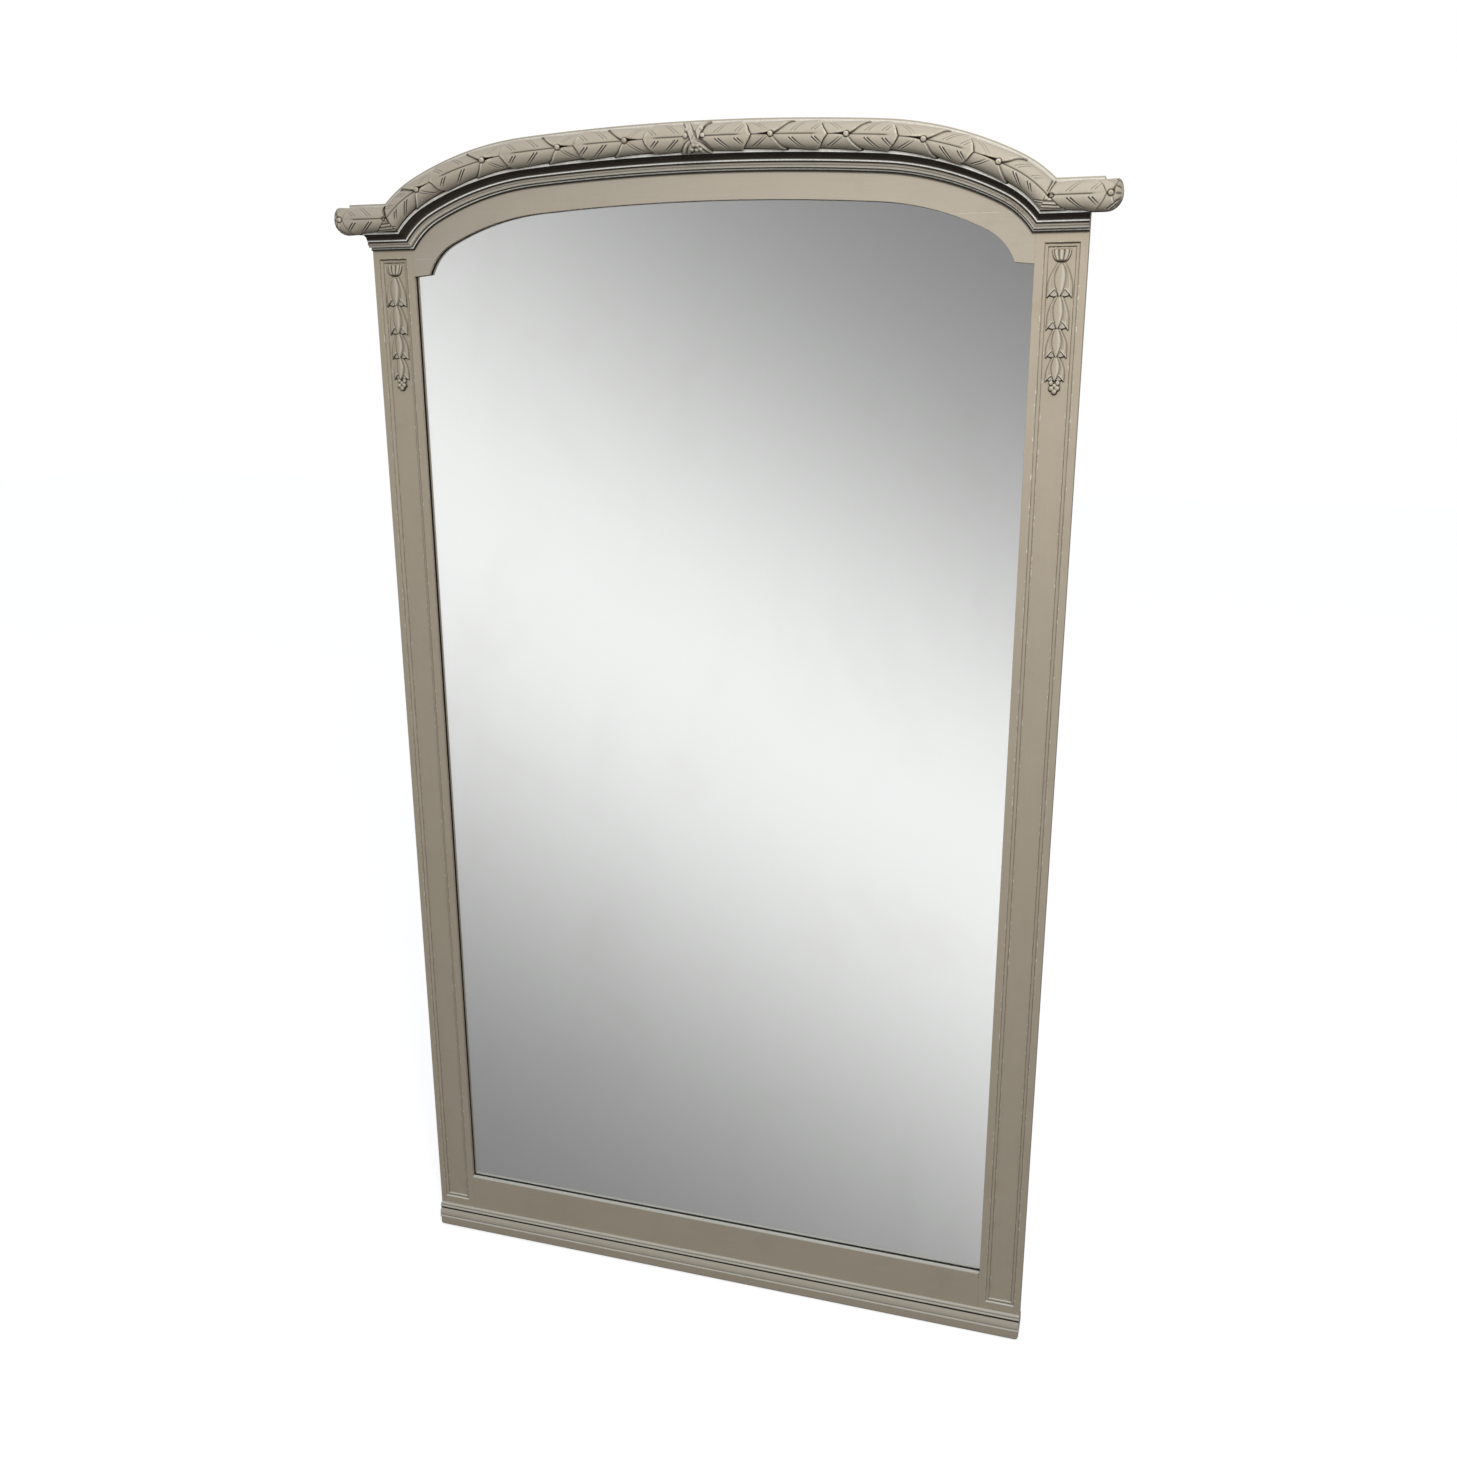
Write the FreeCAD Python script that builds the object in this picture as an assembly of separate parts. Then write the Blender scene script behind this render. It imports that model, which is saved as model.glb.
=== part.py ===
import FreeCAD, Part
import math
import os

# Trumeau mirror: a tall painted frame with an arched, garlanded top and a panelled back.
# Millimetres, +Z up, front towards -Y. The origin is on the underside of the plinth, in the middle
# of the width, on the plane where the front frame meets the panelled back.

V = FreeCAD.Vector
SIDES = (("left", -1), ("right", 1))

# ---- driving dimensions: frame ----
HALF_WIDTH = 500.0            # over the stiles
STILE_WIDTH = 64.4
BOARD = 22.0                  # thickness of the front boards
BASE_HEIGHT = 40.0            # plinth and base moulding together
PLINTH_HEIGHT = 15.5
PLINTH_FORWARD = 9.6          # in front of the stile faces
PLINTH_CORNER_R = 5.0
PLINTH_FOOT_R = 4.0
RAIL_HEIGHT = 62.1            # bottom rail above the base moulding
SHOULDER_Z = 1619.6           # underside of the level cornices
HAUNCH_Z = 1583.2             # where the arched board meets the stiles, at the sight edge
CUSP_Z = 1585.6
HAUNCH_SEAMS = {"left": 1607.4, "right": 1645.4}  # top of each haunch block

# section of the base moulding: distance in front of the stile faces, distance below its top
BASE_PROFILE = ((0, 0), (1.2, 0), (3.5, 1.4), (3.6, 3.3), (4.6, 3.7), (5.7, 5.0), (6.0, 6.8), (4.0, 7.2),
                (4.0, 10.4), (4.8, 11.0), (6.3, 12.6), (7.4, 15.0), (8.0, 18.0), (8.0, 21.0), (7.4, 21.8),
                (8.4, 22.6), (9.2, 23.2), (PLINTH_FORWARD, BASE_HEIGHT - PLINTH_HEIGHT),
                (0, BASE_HEIGHT - PLINTH_HEIGHT))

# ---- driving dimensions: the arch, one basket-handle curve and its offsets ----
ARCH_APEX_Z = 1705.0          # underside of the arched cornice, in the middle
ARCH_RADII = (3290.0, 412.0, 109.0)
ARCH_TURNS = (4.16, 26.0)     # degrees from the apex where the radius changes
SIGHT_BAND = 33.8             # plain band from the sight edge up to the cornice
CREST_LOW = 21.5              # crest board and garland start this far above the cornice's foot
CREST_TOP = 60.0
CREST_FORWARD = 27.0
CREST_END_X = 516.0

# ---- driving dimensions: garland, ribbon and husks ----
GARLAND_R = 17.75
GARLAND_OFFSET = 39.25
GARLAND_END_X = 538.6
END_LOW_R = 20.0
END_TOP_R = 7.0
END_FRONT_R = 16.0
BERRY_R = 3.4
BERRY_SINK = 0.6              # how far a berry's centre stands in front of the garland's surface
RIGHT_BERRIES = (105.0, 202.5, 299.5, 396.0)  # along the arch from its middle; carved by eye,
LEFT_BERRIES = (91.5, 186.5, 298.0, 405.5)    # so the two sides differ a little
END_BERRY_X = 524.0
KNOT_X = 5.0                  # the crossed ribbon sits a little right of the middle
KNOT_BERRY_R = 2.8
KNOT_BERRIES = ((-12.5, 0.5), (12.5, 0.5), (0.0, -10.5), (-3.2, -15.5), (3.2, -15.5), (-3.1, 13.5),
                (3.1, 13.5))
RIBBON_SKIN = 1.6
RIBBON_WIDTH = 8.0
RIBBON_TILT = 42.0
HUSK_LEVELS = ((1601.0, 1585.5, 10.5, 18.0), (1582.0, 1543.8, 8.0, 32.0), (1543.0, 1504.8, 7.0, 28.4),
               (1504.0, 1470.4, 6.5, 27.0), (1469.6, 1441.4, 6.0, 24.0))
HUSK_BUD = (1440.6, 1424.6, 6.8)
HUSK_RELIEF = 4.6
HUSK_RIDGE = 1.6

# ---- driving dimensions: glass ----
LIP = 5.0                     # thickness of the rabbet's lip in front of the glass
GLASS = 4.0
SILVER = 0.3
GLASS_LAP = 7.0               # how far the glass runs under the lip
RABBET_LAP = 9.0
BLOCK_SIZE = (7.6, 9.0, 46.0)
PAD_LENGTH = 60.0
PADS_X = (-260.0, 260.0)
SIDE_BLOCKS_Z = (190.0, 510.0, 830.0, 1150.0, 1470.0)
LOW_BLOCKS_X = (-330.0, -125.0, 80.0, 285.0)

# ---- driving dimensions: sunk panels of the stiles ----
PANEL_X = (446.6, 490.8)
PANEL_Z = (52.8, 1607.7)
PANEL_STEPS = ((0.0, 0.0, 1.7, 1.5), (1.7, 1.5, 4.4, 2.2), (4.4, 2.2, 5.5, 4.0))

# ---- driving dimensions: panelled back ----
BACK = 18.0                   # thickness of the back's stiles and rails
BACK_STILE_X = (408.0, 498.0)
BACK_STILE_TOP = 1672.0
BACK_RAILS = {"top": (1590.0, 1698.0), "upper_middle": (1055.0, 1135.0),
              "lower_middle": (540.0, 620.0), "bottom": (PLINTH_HEIGHT, 120.0)}
TENON = (30.0, 6.0)           # length and thickness
TENON_SHOULDER = 14.0
GROOVE = (9.0, 6.0)           # depth and width of the panel groove
PANEL_FIELD = 12.0
PANEL_BEVEL = 26.0
GROOVE_PLAY = 0.4
PEG_R = 3.5
GLUE_GAP = 0.05

# ---- driving dimensions: fasteners and hangers ----
DOWEL_R = 4.0
DOWEL_HALF = 20.0
DOWEL_LEVELS = (PLINTH_HEIGHT + 22.0, PLINTH_HEIGHT + 58.0, SHOULDER_Z + 14.0, SHOULDER_Z + 40.0)
SCREW_R = 2.2
SCREW_HEAD_R = 4.4
SCREW_LENGTH = 32.0
SLOT_WIDTH = 1.0
BASE_SCREWS_X = (-467.0, -230.0, 0.0, 230.0, 467.0)
BASE_SCREW_SINK = 0.6
BACK_SCREW_X = 470.0
BACK_SCREW_LEVELS = (90.0, 400.0, 710.0, 1020.0, 1330.0, 1600.0)
BACK_SCREWS_LOW = ((-260.0, 60.0), (0.0, 60.0), (260.0, 60.0))
BACK_SCREWS_HIGH = ((-180.0, 1688.0), (180.0, 1688.0))
BACK_SCREW_SINK = 0.3
HANGER_X = 453.0
HANGER_PIVOT_Z = 1540.0
STRAP = (18.0, 2.0, 66.0)
WIRE_R = 2.0
KNUCKLE_PLAY = 0.08
RING_HALF_BAR = 12.0
RING_CORNER_R = 5.0
RING_LEG = 8.0
STRAP_SCREWS = (-42.0, -58.0)
STRAP_SCREW_LENGTH = 15.0
DOME_R = 5.4                  # round screw heads, this much of their ball behind the strap
DOME_SINK = 3.2
WALL_PAD_R = 16.0
WALL_PAD = 9.5
WALL_PADS = ((453.0, 1625.0), (453.0, 62.0))

# ---- worked out from the above ----
FACE_Y = -BOARD
CREST_Y = FACE_Y - CREST_FORWARD
SIGHT_X = HALF_WIDTH - STILE_WIDTH
SIGHT_LOW_Z = BASE_HEIGHT + RAIL_HEIGHT
GLASS_Y = FACE_Y + LIP
GLASS_BACK_Y = GLASS_Y + GLASS
FIELD_Y = FACE_Y + PANEL_STEPS[-1][3]
PANEL_MID_X = sum(PANEL_X) / 2
SHOULDER_TOP = SHOULDER_Z + CREST_TOP
STILE_FOOT = PLINTH_HEIGHT
PIVOT_Y = BACK + STRAP[1] + WIRE_R + KNUCKLE_PLAY + GLUE_GAP


def save(name, shape):
    """Write one node and print what it holds."""
    solids = shape.Solids
    if not shape.isValid() or not solids:
        raise ValueError("bad solid in " + name)
    shape.exportStep("parts/" + name + ".step")
    print("%-26s %2d solid(s) %12.1f mm3" % (name, len(solids), shape.Volume))


def box(x, y, z):
    """Box between two limits on each axis."""
    return Part.makeBox(x[1] - x[0], y[1] - y[0], z[1] - z[0], V(x[0], y[0], z[0]))


def rod(radius, start, direction, length):
    return Part.makeCylinder(radius, length, V(*start), V(*direction))


def mirrored(shape):
    """The same shape on the other side of the middle."""
    return shape.mirror(V(0, 0, 0), V(1, 0, 0))


def fused(shapes):
    whole = shapes[0]
    for shape in shapes[1:]:
        whole = whole.fuse(shape)
    return whole.removeSplitter()


def group(shapes):
    return Part.makeCompound([solid for shape in shapes for solid in shape.Solids])


def cut_all(shape, tools):
    for tool in tools:
        shape = shape.cut(tool)
    return shape


def plate(points, y_low, y_high):
    """Flat piece from its outline in X and Z."""
    wire = Part.makePolygon([V(x, y_low, z) for x, z in points + points[:1]])
    return Part.Face(wire).extrude(V(0, y_high - y_low, 0))


# ---- the arch ----

def arch_spans():
    """Centre, radius and limits in degrees from the vertical of each arc, for the right half."""
    centre = V(0, 0, ARCH_APEX_Z - ARCH_RADII[0])
    spans = []
    turns = (0.0,) + ARCH_TURNS + (math.degrees(math.pi / 2),)
    for number, radius in enumerate(ARCH_RADII):
        spans.append((centre, radius, turns[number], turns[number + 1]))
        if number + 1 < len(ARCH_RADII):
            turn = math.radians(turns[number + 1])
            step = radius - ARCH_RADII[number + 1]
            centre = centre + V(step * math.sin(turn), 0, step * math.cos(turn))
    return spans


def on_arch(span, offset, turn, y=0.0):
    centre, radius = span[0], span[1] + offset
    angle = math.radians(turn)
    return V(centre.x + radius * math.sin(angle), y, centre.z + radius * math.cos(angle))


def arch_edges(offset, last_turn, y):
    """Arcs of the whole arch from its left end to its right end, at an offset from the cornice foot."""
    right = []
    for span in arch_spans():
        stop = min(span[3], last_turn)
        if stop > span[2]:
            middle = (span[2] + stop) / 2
            ends = [on_arch(span, offset, turn, y) for turn in (span[2], middle, stop)]
            right.append(Part.Arc(*ends).toShape())
    left = [mirrored(edge) for edge in reversed(right)]
    return left + right


def turn_at_level(span, offset, z):
    return math.degrees(math.acos((z - span[0].z) / (span[1] + offset)))


def arch_x(offset, z):
    """Where the last arc at this offset crosses a level."""
    span = arch_spans()[-1]
    return on_arch(span, offset, turn_at_level(span, offset, z)).x


def mitre_x(height):
    """The mitre between the arch and a shoulder, at a height above the shoulder's cornice foot."""
    low = arch_x(0.0, SHOULDER_Z)
    high = arch_x(CREST_TOP, SHOULDER_TOP)
    return low + (high - low) * height / CREST_TOP


def outside_mitre(sign):
    """Everything on a shoulder's side of its mitre."""
    low, high, far = -60.0, 160.0, 700.0
    points = [(sign * mitre_x(low), SHOULDER_Z + low), (sign * far, SHOULDER_Z + low),
              (sign * far, SHOULDER_Z + high), (sign * mitre_x(high), SHOULDER_Z + high)]
    return plate(points, -200.0, 100.0)


def swept_arch(section):
    """A section, drawn as (forward, offset) edges, carried round the whole arch."""
    pieces = []
    for span in arch_spans():
        last = span[3] if span[3] < 80 else turn_at_level(span, 0.0, SHOULDER_Z - 25.0)
        axis = V(span[0].x, 0, span[0].z)
        start = section.copy()
        start.translate(V(0, 0, span[0].z + span[1]))
        start.translate(V(span[0].x, 0, 0))
        start.rotate(axis, V(0, 1, 0), span[2])
        piece = start.revolve(axis, V(0, 1, 0), last - span[2])
        pieces += [piece, mirrored(piece)]
    whole = fused(pieces)
    return cut_all(whole, [outside_mitre(1), outside_mitre(-1)])


def shoulder_run(section, sign, end_x):
    """The same section run level along a shoulder."""
    start = section.copy()
    start.translate(V(sign * mitre_x(-60.0), 0, SHOULDER_Z))
    run = start.extrude(V(sign * (end_x - mitre_x(-60.0)), 0, 0))
    return run.common(outside_mitre(sign))


def cornice_section():
    """Fillet, quirk, ovolo, bead and cove, from the stile face forwards."""
    def point(forward, offset):
        return V(0, FACE_Y - forward, offset)

    def line(start, end):
        return Part.LineSegment(point(*start), point(*end)).toShape()

    def arc(start, middle, end):
        return Part.Arc(point(*start), point(*middle), point(*end)).toShape()

    top = (CREST_FORWARD, CREST_LOW)
    edges = [line((0, 0), (3.5, 0)), line((3.5, 0), (3.5, 3.0)), line((3.5, 3.0), (2.6, 3.8)),
             line((2.6, 3.8), (5.2, 4.0)), arc((5.2, 4.0), (10.2, 6.0), (12.0, 10.2)),
             line((12.0, 10.2), (11.2, 10.8)), line((11.2, 10.8), (13.0, 11.3)),
             line((13.0, 11.3), (13.0, 12.6)), arc((13.0, 12.6), (17.4, 17.6), (24.0, 20.2)),
             line((24.0, 20.2), (CREST_FORWARD, 20.2)), line((CREST_FORWARD, 20.2), top),
             line(top, (0, CREST_LOW)), line((0, CREST_LOW), (0, 0))]
    return Part.Face(Part.Wire(edges))


def crest_section():
    corners = [V(0, FACE_Y, CREST_LOW), V(0, CREST_Y, CREST_LOW), V(0, CREST_Y, CREST_TOP),
               V(0, FACE_Y, CREST_TOP), V(0, FACE_Y, CREST_LOW)]
    return Part.Face(Part.makePolygon(corners))


def half_round(radius):
    """Half disc on the face of the crest board."""
    low, high = V(0, CREST_Y, GARLAND_OFFSET - radius), V(0, CREST_Y, GARLAND_OFFSET + radius)
    arc = Part.Arc(low, V(0, CREST_Y - radius, GARLAND_OFFSET), high).toShape()
    return Part.Face(Part.Wire([arc, Part.LineSegment(high, low).toShape()]))


# ---- front frame ----

def glass_outline(lap, y_low, y_high):
    """The glass, or the recess for it: the opening grown by a lap, with its haunches cut straight."""
    spans = arch_spans()
    turn = ARCH_TURNS[1]
    offset = lap - SIGHT_BAND
    arcs = arch_edges(offset, turn, y_low)
    touch = on_arch(spans[1], offset, turn, y_low)
    side = SIGHT_X + lap
    corner_z = touch.z - (side - touch.x) * math.tan(math.radians(turn))
    foot = SIGHT_LOW_Z - lap
    right = [touch, V(side, y_low, corner_z), V(side, y_low, foot)]
    left = [V(-point.x, y_low, point.z) for point in reversed(right)]
    lines = Part.makePolygon(right + left).Edges
    face = Part.Face(Part.Wire(Part.__sortEdges__(arcs + lines)))
    return face.extrude(V(0, y_high - y_low, 0))


def panel_sinking(sign):
    """The stepped sinking of a stile's panel."""
    def rectangle(inset, depth):
        x = (PANEL_X[0] + inset, PANEL_X[1] - inset)
        z = (PANEL_Z[0] + inset, PANEL_Z[1] - inset)
        corners = [V(sign * x[0], FACE_Y + depth, z[0]), V(sign * x[1], FACE_Y + depth, z[0]),
                   V(sign * x[1], FACE_Y + depth, z[1]), V(sign * x[0], FACE_Y + depth, z[1])]
        return Part.makePolygon(corners + corners[:1])

    lofts = [Part.makeLoft([rectangle(start, depth), rectangle(stop, deep)], True, True)
             for start, depth, stop, deep in PANEL_STEPS]
    last = PANEL_STEPS[-1]
    lofts.append(Part.Face(rectangle(last[2], 0.0)).extrude(V(0, last[3], 0)))
    return fused(lofts)


def front_boards(recess):
    """Stiles, bottom rail, arched board and its haunch blocks, before their holes are bored."""
    boards = {}
    for side, sign in SIDES:
        x = sorted((sign * SIGHT_X, sign * HALF_WIDTH))
        stile = box(x, (FACE_Y, 0), (STILE_FOOT, SHOULDER_TOP))
        boards[side + "_stile"] = cut_all(stile, [recess, panel_sinking(sign)])
    rail = box((-SIGHT_X, SIGHT_X), (FACE_Y, 0), (STILE_FOOT, SIGHT_LOW_Z))
    boards["bottom_rail"] = rail.cut(recess)
    whole = arched_board().cut(recess)
    for side, sign in SIDES:
        corner = box(sorted((sign * 300.0, sign * SIGHT_X)), (FACE_Y, 0),
                     (HAUNCH_Z - 10, HAUNCH_SEAMS[side]))
        boards[side + "_haunch_block"] = whole.common(corner)
        whole = whole.cut(corner)
    boards["arched_board"] = whole
    return boards


def arched_board():
    """Board between the stiles: arched below and above, with a short level step at each haunch."""
    span = arch_spans()[-1]
    low_turn = turn_at_level(span, -SIGHT_BAND, CUSP_Z)
    high_turn = math.degrees(math.asin((SIGHT_X - span[0].x) / (span[1] + CREST_TOP)))
    low = arch_edges(-SIGHT_BAND, low_turn, FACE_Y)
    high = arch_edges(CREST_TOP, high_turn, FACE_Y)
    cusp = on_arch(span, -SIGHT_BAND, low_turn, FACE_Y)
    top = on_arch(span, CREST_TOP, high_turn, FACE_Y)
    ends = []
    for sign in (-1, 1):
        points = [V(sign * cusp.x, FACE_Y, cusp.z), V(sign * SIGHT_X, FACE_Y, HAUNCH_Z),
                  V(sign * top.x, FACE_Y, top.z)]
        ends += Part.makePolygon(points).Edges
    face = Part.Face(Part.Wire(Part.__sortEdges__(low + high + ends)))
    return face.extrude(V(0, BOARD, 0))


def dowel_places():
    """Centre of each dowel across a stile's inner edge."""
    return [(sign * SIGHT_X, FACE_Y / 2, level) for sign in (-1, 1) for level in DOWEL_LEVELS]


def dowels(radius, half_length):
    return [rod(radius, (x - half_length, y, z), (1, 0, 0), 2 * half_length)
            for x, y, z in dowel_places()]


# ---- base ----

def base_moulding():
    """Stepped strip in front of the frame's foot: bevel, swelling, deep quirk, ovolo and arris."""
    def point(forward, drop):
        return V(-HALF_WIDTH, FACE_Y - forward, BASE_HEIGHT - drop)

    wire = Part.makePolygon([point(*corner) for corner in BASE_PROFILE + BASE_PROFILE[:1]])
    return Part.Face(wire).extrude(V(2 * HALF_WIDTH, 0, 0))


def base_plinth():
    """Plain board under the whole frame, its front corners rounded."""
    plinth = box((-HALF_WIDTH, HALF_WIDTH), (FACE_Y - PLINTH_FORWARD, BACK), (0, PLINTH_HEIGHT))
    corners = [edge for edge in plinth.Edges
               if edge.BoundBox.YMax < FACE_Y and edge.BoundBox.XLength < 1 and edge.BoundBox.YLength < 1]
    rounded = plinth.makeFillet(PLINTH_CORNER_R, corners)
    ends = [edge for edge in rounded.Edges
            if edge.BoundBox.ZMax < 0.01 and edge.BoundBox.XLength < 1 and edge.BoundBox.YLength > 10]
    return rounded.makeFillet(PLINTH_FOOT_R, ends)


# ---- crest ornament ----

def garland_shoulder(sign):
    """Half-round along a shoulder, its outer end rounded below, above and in front."""
    run = shoulder_run(half_round(GARLAND_R), sign, GARLAND_END_X)
    inner, outer = sign * 300.0, sign * GARLAND_END_X
    low, high = SHOULDER_Z + CREST_LOW, SHOULDER_Z + CREST_LOW + 2 * GARLAND_R
    block = box(sorted((inner, outer)), (CREST_Y - GARLAND_R, CREST_Y), (low, high))
    for level, radius in ((low, END_LOW_R), (high, END_TOP_R)):
        block = block.makeFillet(radius, end_edges(block, outer, level))
    front = [edge for edge in block.Edges
             if abs(edge.BoundBox.YMax - (CREST_Y - GARLAND_R)) < 0.01
             and edge.BoundBox.XLength < 1 and edge.BoundBox.ZLength > 5
             and abs(edge.BoundBox.XMin - outer) < 1]
    return run.common(block.makeFillet(END_FRONT_R, front[:1]))


def end_edges(block, x, level):
    """Edges of a block that run front to back at one x and one level."""
    found = []
    for edge in block.Edges:
        limits = edge.BoundBox
        if abs(limits.XMin - x) < 0.01 and abs(limits.XMax - x) < 0.01 \
                and abs(limits.ZMin - level) < 0.01 and abs(limits.ZMax - level) < 0.01:
            found.append(edge)
    return found


def along_arch(distance, offset):
    """Point and turn at a distance along the arch from its middle."""
    left_over = distance
    for span in arch_spans():
        length = math.radians(span[3] - span[2]) * (span[1] + offset)
        if left_over <= length:
            turn = span[2] + math.degrees(left_over / (span[1] + offset))
            return on_arch(span, offset, turn)
        left_over -= length
    raise ValueError("past the end of the arch")


def berries(garland):
    """One berry at each joint between leaves, seated on the garland."""
    front = CREST_Y - GARLAND_R + BERRY_SINK
    places = []
    for sign, distances in ((-1, LEFT_BERRIES), (1, RIGHT_BERRIES)):
        for distance in distances:
            point = along_arch(distance, GARLAND_OFFSET)
            places.append((sign * point.x, front, point.z))
        places.append((sign * END_BERRY_X, front + 1.0, SHOULDER_Z + GARLAND_OFFSET))
    return [Part.makeSphere(BERRY_R, V(*place)).cut(garland) for place in places]


def ribbon(garland):
    """Two bands crossed over the middle of the garland."""
    z = ARCH_APEX_Z + GARLAND_OFFSET
    skin = rod(GARLAND_R + RIBBON_SKIN, (KNOT_X - 40.0, CREST_Y, z), (1, 0, 0), 80.0)
    skin = skin.common(box((KNOT_X - 40, KNOT_X + 40), (CREST_Y - 30, CREST_Y), (z - 30, z + 30)))
    bands = []
    for tilt in (-RIBBON_TILT, RIBBON_TILT):
        slab = box((KNOT_X - RIBBON_WIDTH / 2, KNOT_X + RIBBON_WIDTH / 2), (CREST_Y - 40, CREST_Y),
                   (z - 60, z + 60))
        slab.rotate(V(KNOT_X, CREST_Y, z), V(0, 1, 0), tilt)
        bands.append(skin.common(slab))
    return fused(bands).cut(garland)


def ribbon_berries(garland):
    """Small cluster beside, below and above the knot."""
    z = ARCH_APEX_Z + GARLAND_OFFSET
    solids = []
    for across, up in KNOT_BERRIES:
        forward = math.sqrt(GARLAND_R ** 2 - up ** 2) + BERRY_SINK
        ball = Part.makeSphere(KNOT_BERRY_R, V(KNOT_X + across, CREST_Y - forward, z + up))
        solids.append(ball.cut(garland))
    return solids


def husk_outline(top, foot, top_width, foot_width):
    """A bellflower: narrow neck, flared side petals and a long middle petal."""
    flare = top - 0.72 * (top - foot)
    neck = top - 0.25 * (top - foot)
    right = [(top_width * 0.28, top), (top_width * 0.5, neck), (foot_width * 0.36, flare + 6.0),
             (foot_width * 0.5, flare), (foot_width * 0.26, flare - 1.5), (0.0, foot)]
    left = [(-x, z) for x, z in reversed(right[:-1])]
    return right + left


def husk_drop(sign):
    """Cup, four bellflowers and a bud, standing on the sunk field of the panel."""
    centre = sign * PANEL_MID_X
    cup = HUSK_LEVELS[0]
    points = [(cup[3] / 2, cup[0]), (cup[2] / 2, cup[1]), (-cup[2] / 2, cup[1]), (-cup[3] / 2, cup[0])]
    solids = [plate([(centre + x, z) for x, z in points], FIELD_Y - HUSK_RELIEF, FIELD_Y)]
    for top, foot, top_width, foot_width in HUSK_LEVELS[1:]:
        outline = [(centre + x, z) for x, z in husk_outline(top, foot, top_width, foot_width)]
        bell = plate(outline, FIELD_Y - HUSK_RELIEF, FIELD_Y)
        ridge = [(centre + x * 0.4, z) for x, z in husk_outline(top, foot + 2, top_width, foot_width)]
        raised = plate(ridge, FIELD_Y - HUSK_RELIEF - HUSK_RIDGE, FIELD_Y)
        solids.append(fused([bell, raised]))
    high, low, half = HUSK_BUD
    bud = [(0, high), (half, (high + low) / 2 + 1), (0, low), (-half, (high + low) / 2 + 1)]
    solids.append(plate([(centre + x, z) for x, z in bud], FIELD_Y - HUSK_RELIEF, FIELD_Y))
    return group(solids)


# ---- what holds the glass ----

def glass_blocks():
    """Blocks glued in the rabbet behind the edge of the glass."""
    width, depth, length = BLOCK_SIZE
    y = (GLASS_BACK_Y + SILVER + 0.2, GLASS_BACK_Y + SILVER + 0.2 + depth)
    edge = SIGHT_X + RABBET_LAP
    foot = SIGHT_LOW_Z - RABBET_LAP
    solids = []
    for z in SIDE_BLOCKS_Z:
        for sign in (-1, 1):
            x = sorted((sign * (edge - width), sign * edge))
            solids.append(box(x, y, (z, z + length)))
    for x in LOW_BLOCKS_X:
        solids.append(box((x, x + length), y, (foot, foot + width)))
    return group(solids)


def setting_pads():
    """Cork pads under the glass."""
    z = (SIGHT_LOW_Z - RABBET_LAP, SIGHT_LOW_Z - GLASS_LAP)
    return group([box((x - PAD_LENGTH / 2, x + PAD_LENGTH / 2), (GLASS_Y, GLASS_BACK_Y), z)
                  for x in PADS_X])


# ---- panelled back ----

def tenon(sign, levels, play=0.0):
    """Tenon of a back rail, or its mortise when it has play."""
    x = sorted((sign * (BACK_STILE_X[0] - 1.0), sign * (BACK_STILE_X[0] + TENON[0] + play)))
    y = (BACK / 2 - TENON[1] / 2 - play, BACK / 2 + TENON[1] / 2 + play)
    z = (levels[0] + TENON_SHOULDER - play, levels[1] - TENON_SHOULDER + play)
    return box(x, y, z)


def panel_levels():
    """Foot and head of each opening between the back's rails."""
    order = sorted(BACK_RAILS.values())
    return [(order[number][1], order[number + 1][0]) for number in range(len(order) - 1)]


def groove_box(levels, play):
    """Tongue of a back panel, or the groove it runs in when it has play."""
    reach = GROOVE[0] - GROOVE_PLAY + play
    thick = GROOVE[1] / 2 - 0.1 + play / 4
    x = (-BACK_STILE_X[0] - reach, BACK_STILE_X[0] + reach)
    return box(x, (BACK / 2 - thick, BACK / 2 + thick), (levels[0] - reach, levels[1] + reach))


def back_panel(levels):
    """Panel with a bevelled field on its rear face and a tongue all round."""
    tongue = groove_box(levels, 0.0)

    def rectangle(inset, y):
        x = BACK_STILE_X[0] - inset
        corners = [V(-x, y, levels[0] + inset), V(x, y, levels[0] + inset),
                   V(x, y, levels[1] - inset), V(-x, y, levels[1] - inset)]
        return Part.makePolygon(corners + corners[:1])

    low = tongue.BoundBox.YMax - 0.5
    high = BACK / 2 + PANEL_FIELD / 2
    field = Part.makeLoft([rectangle(1.0, low), rectangle(PANEL_BEVEL, high)], True, True)
    return fused([tongue, field])


def peg_places():
    places = []
    for levels in BACK_RAILS.values():
        for z in (levels[0] + 30.0, levels[1] - 30.0):
            places += [(sign * (BACK_STILE_X[0] + TENON[0] / 2), z) for sign in (-1, 1)]
    return places


def pegs(radius):
    return [rod(radius, (x, 0.0, z), (0, 1, 0), BACK) for x, z in peg_places()]


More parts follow.
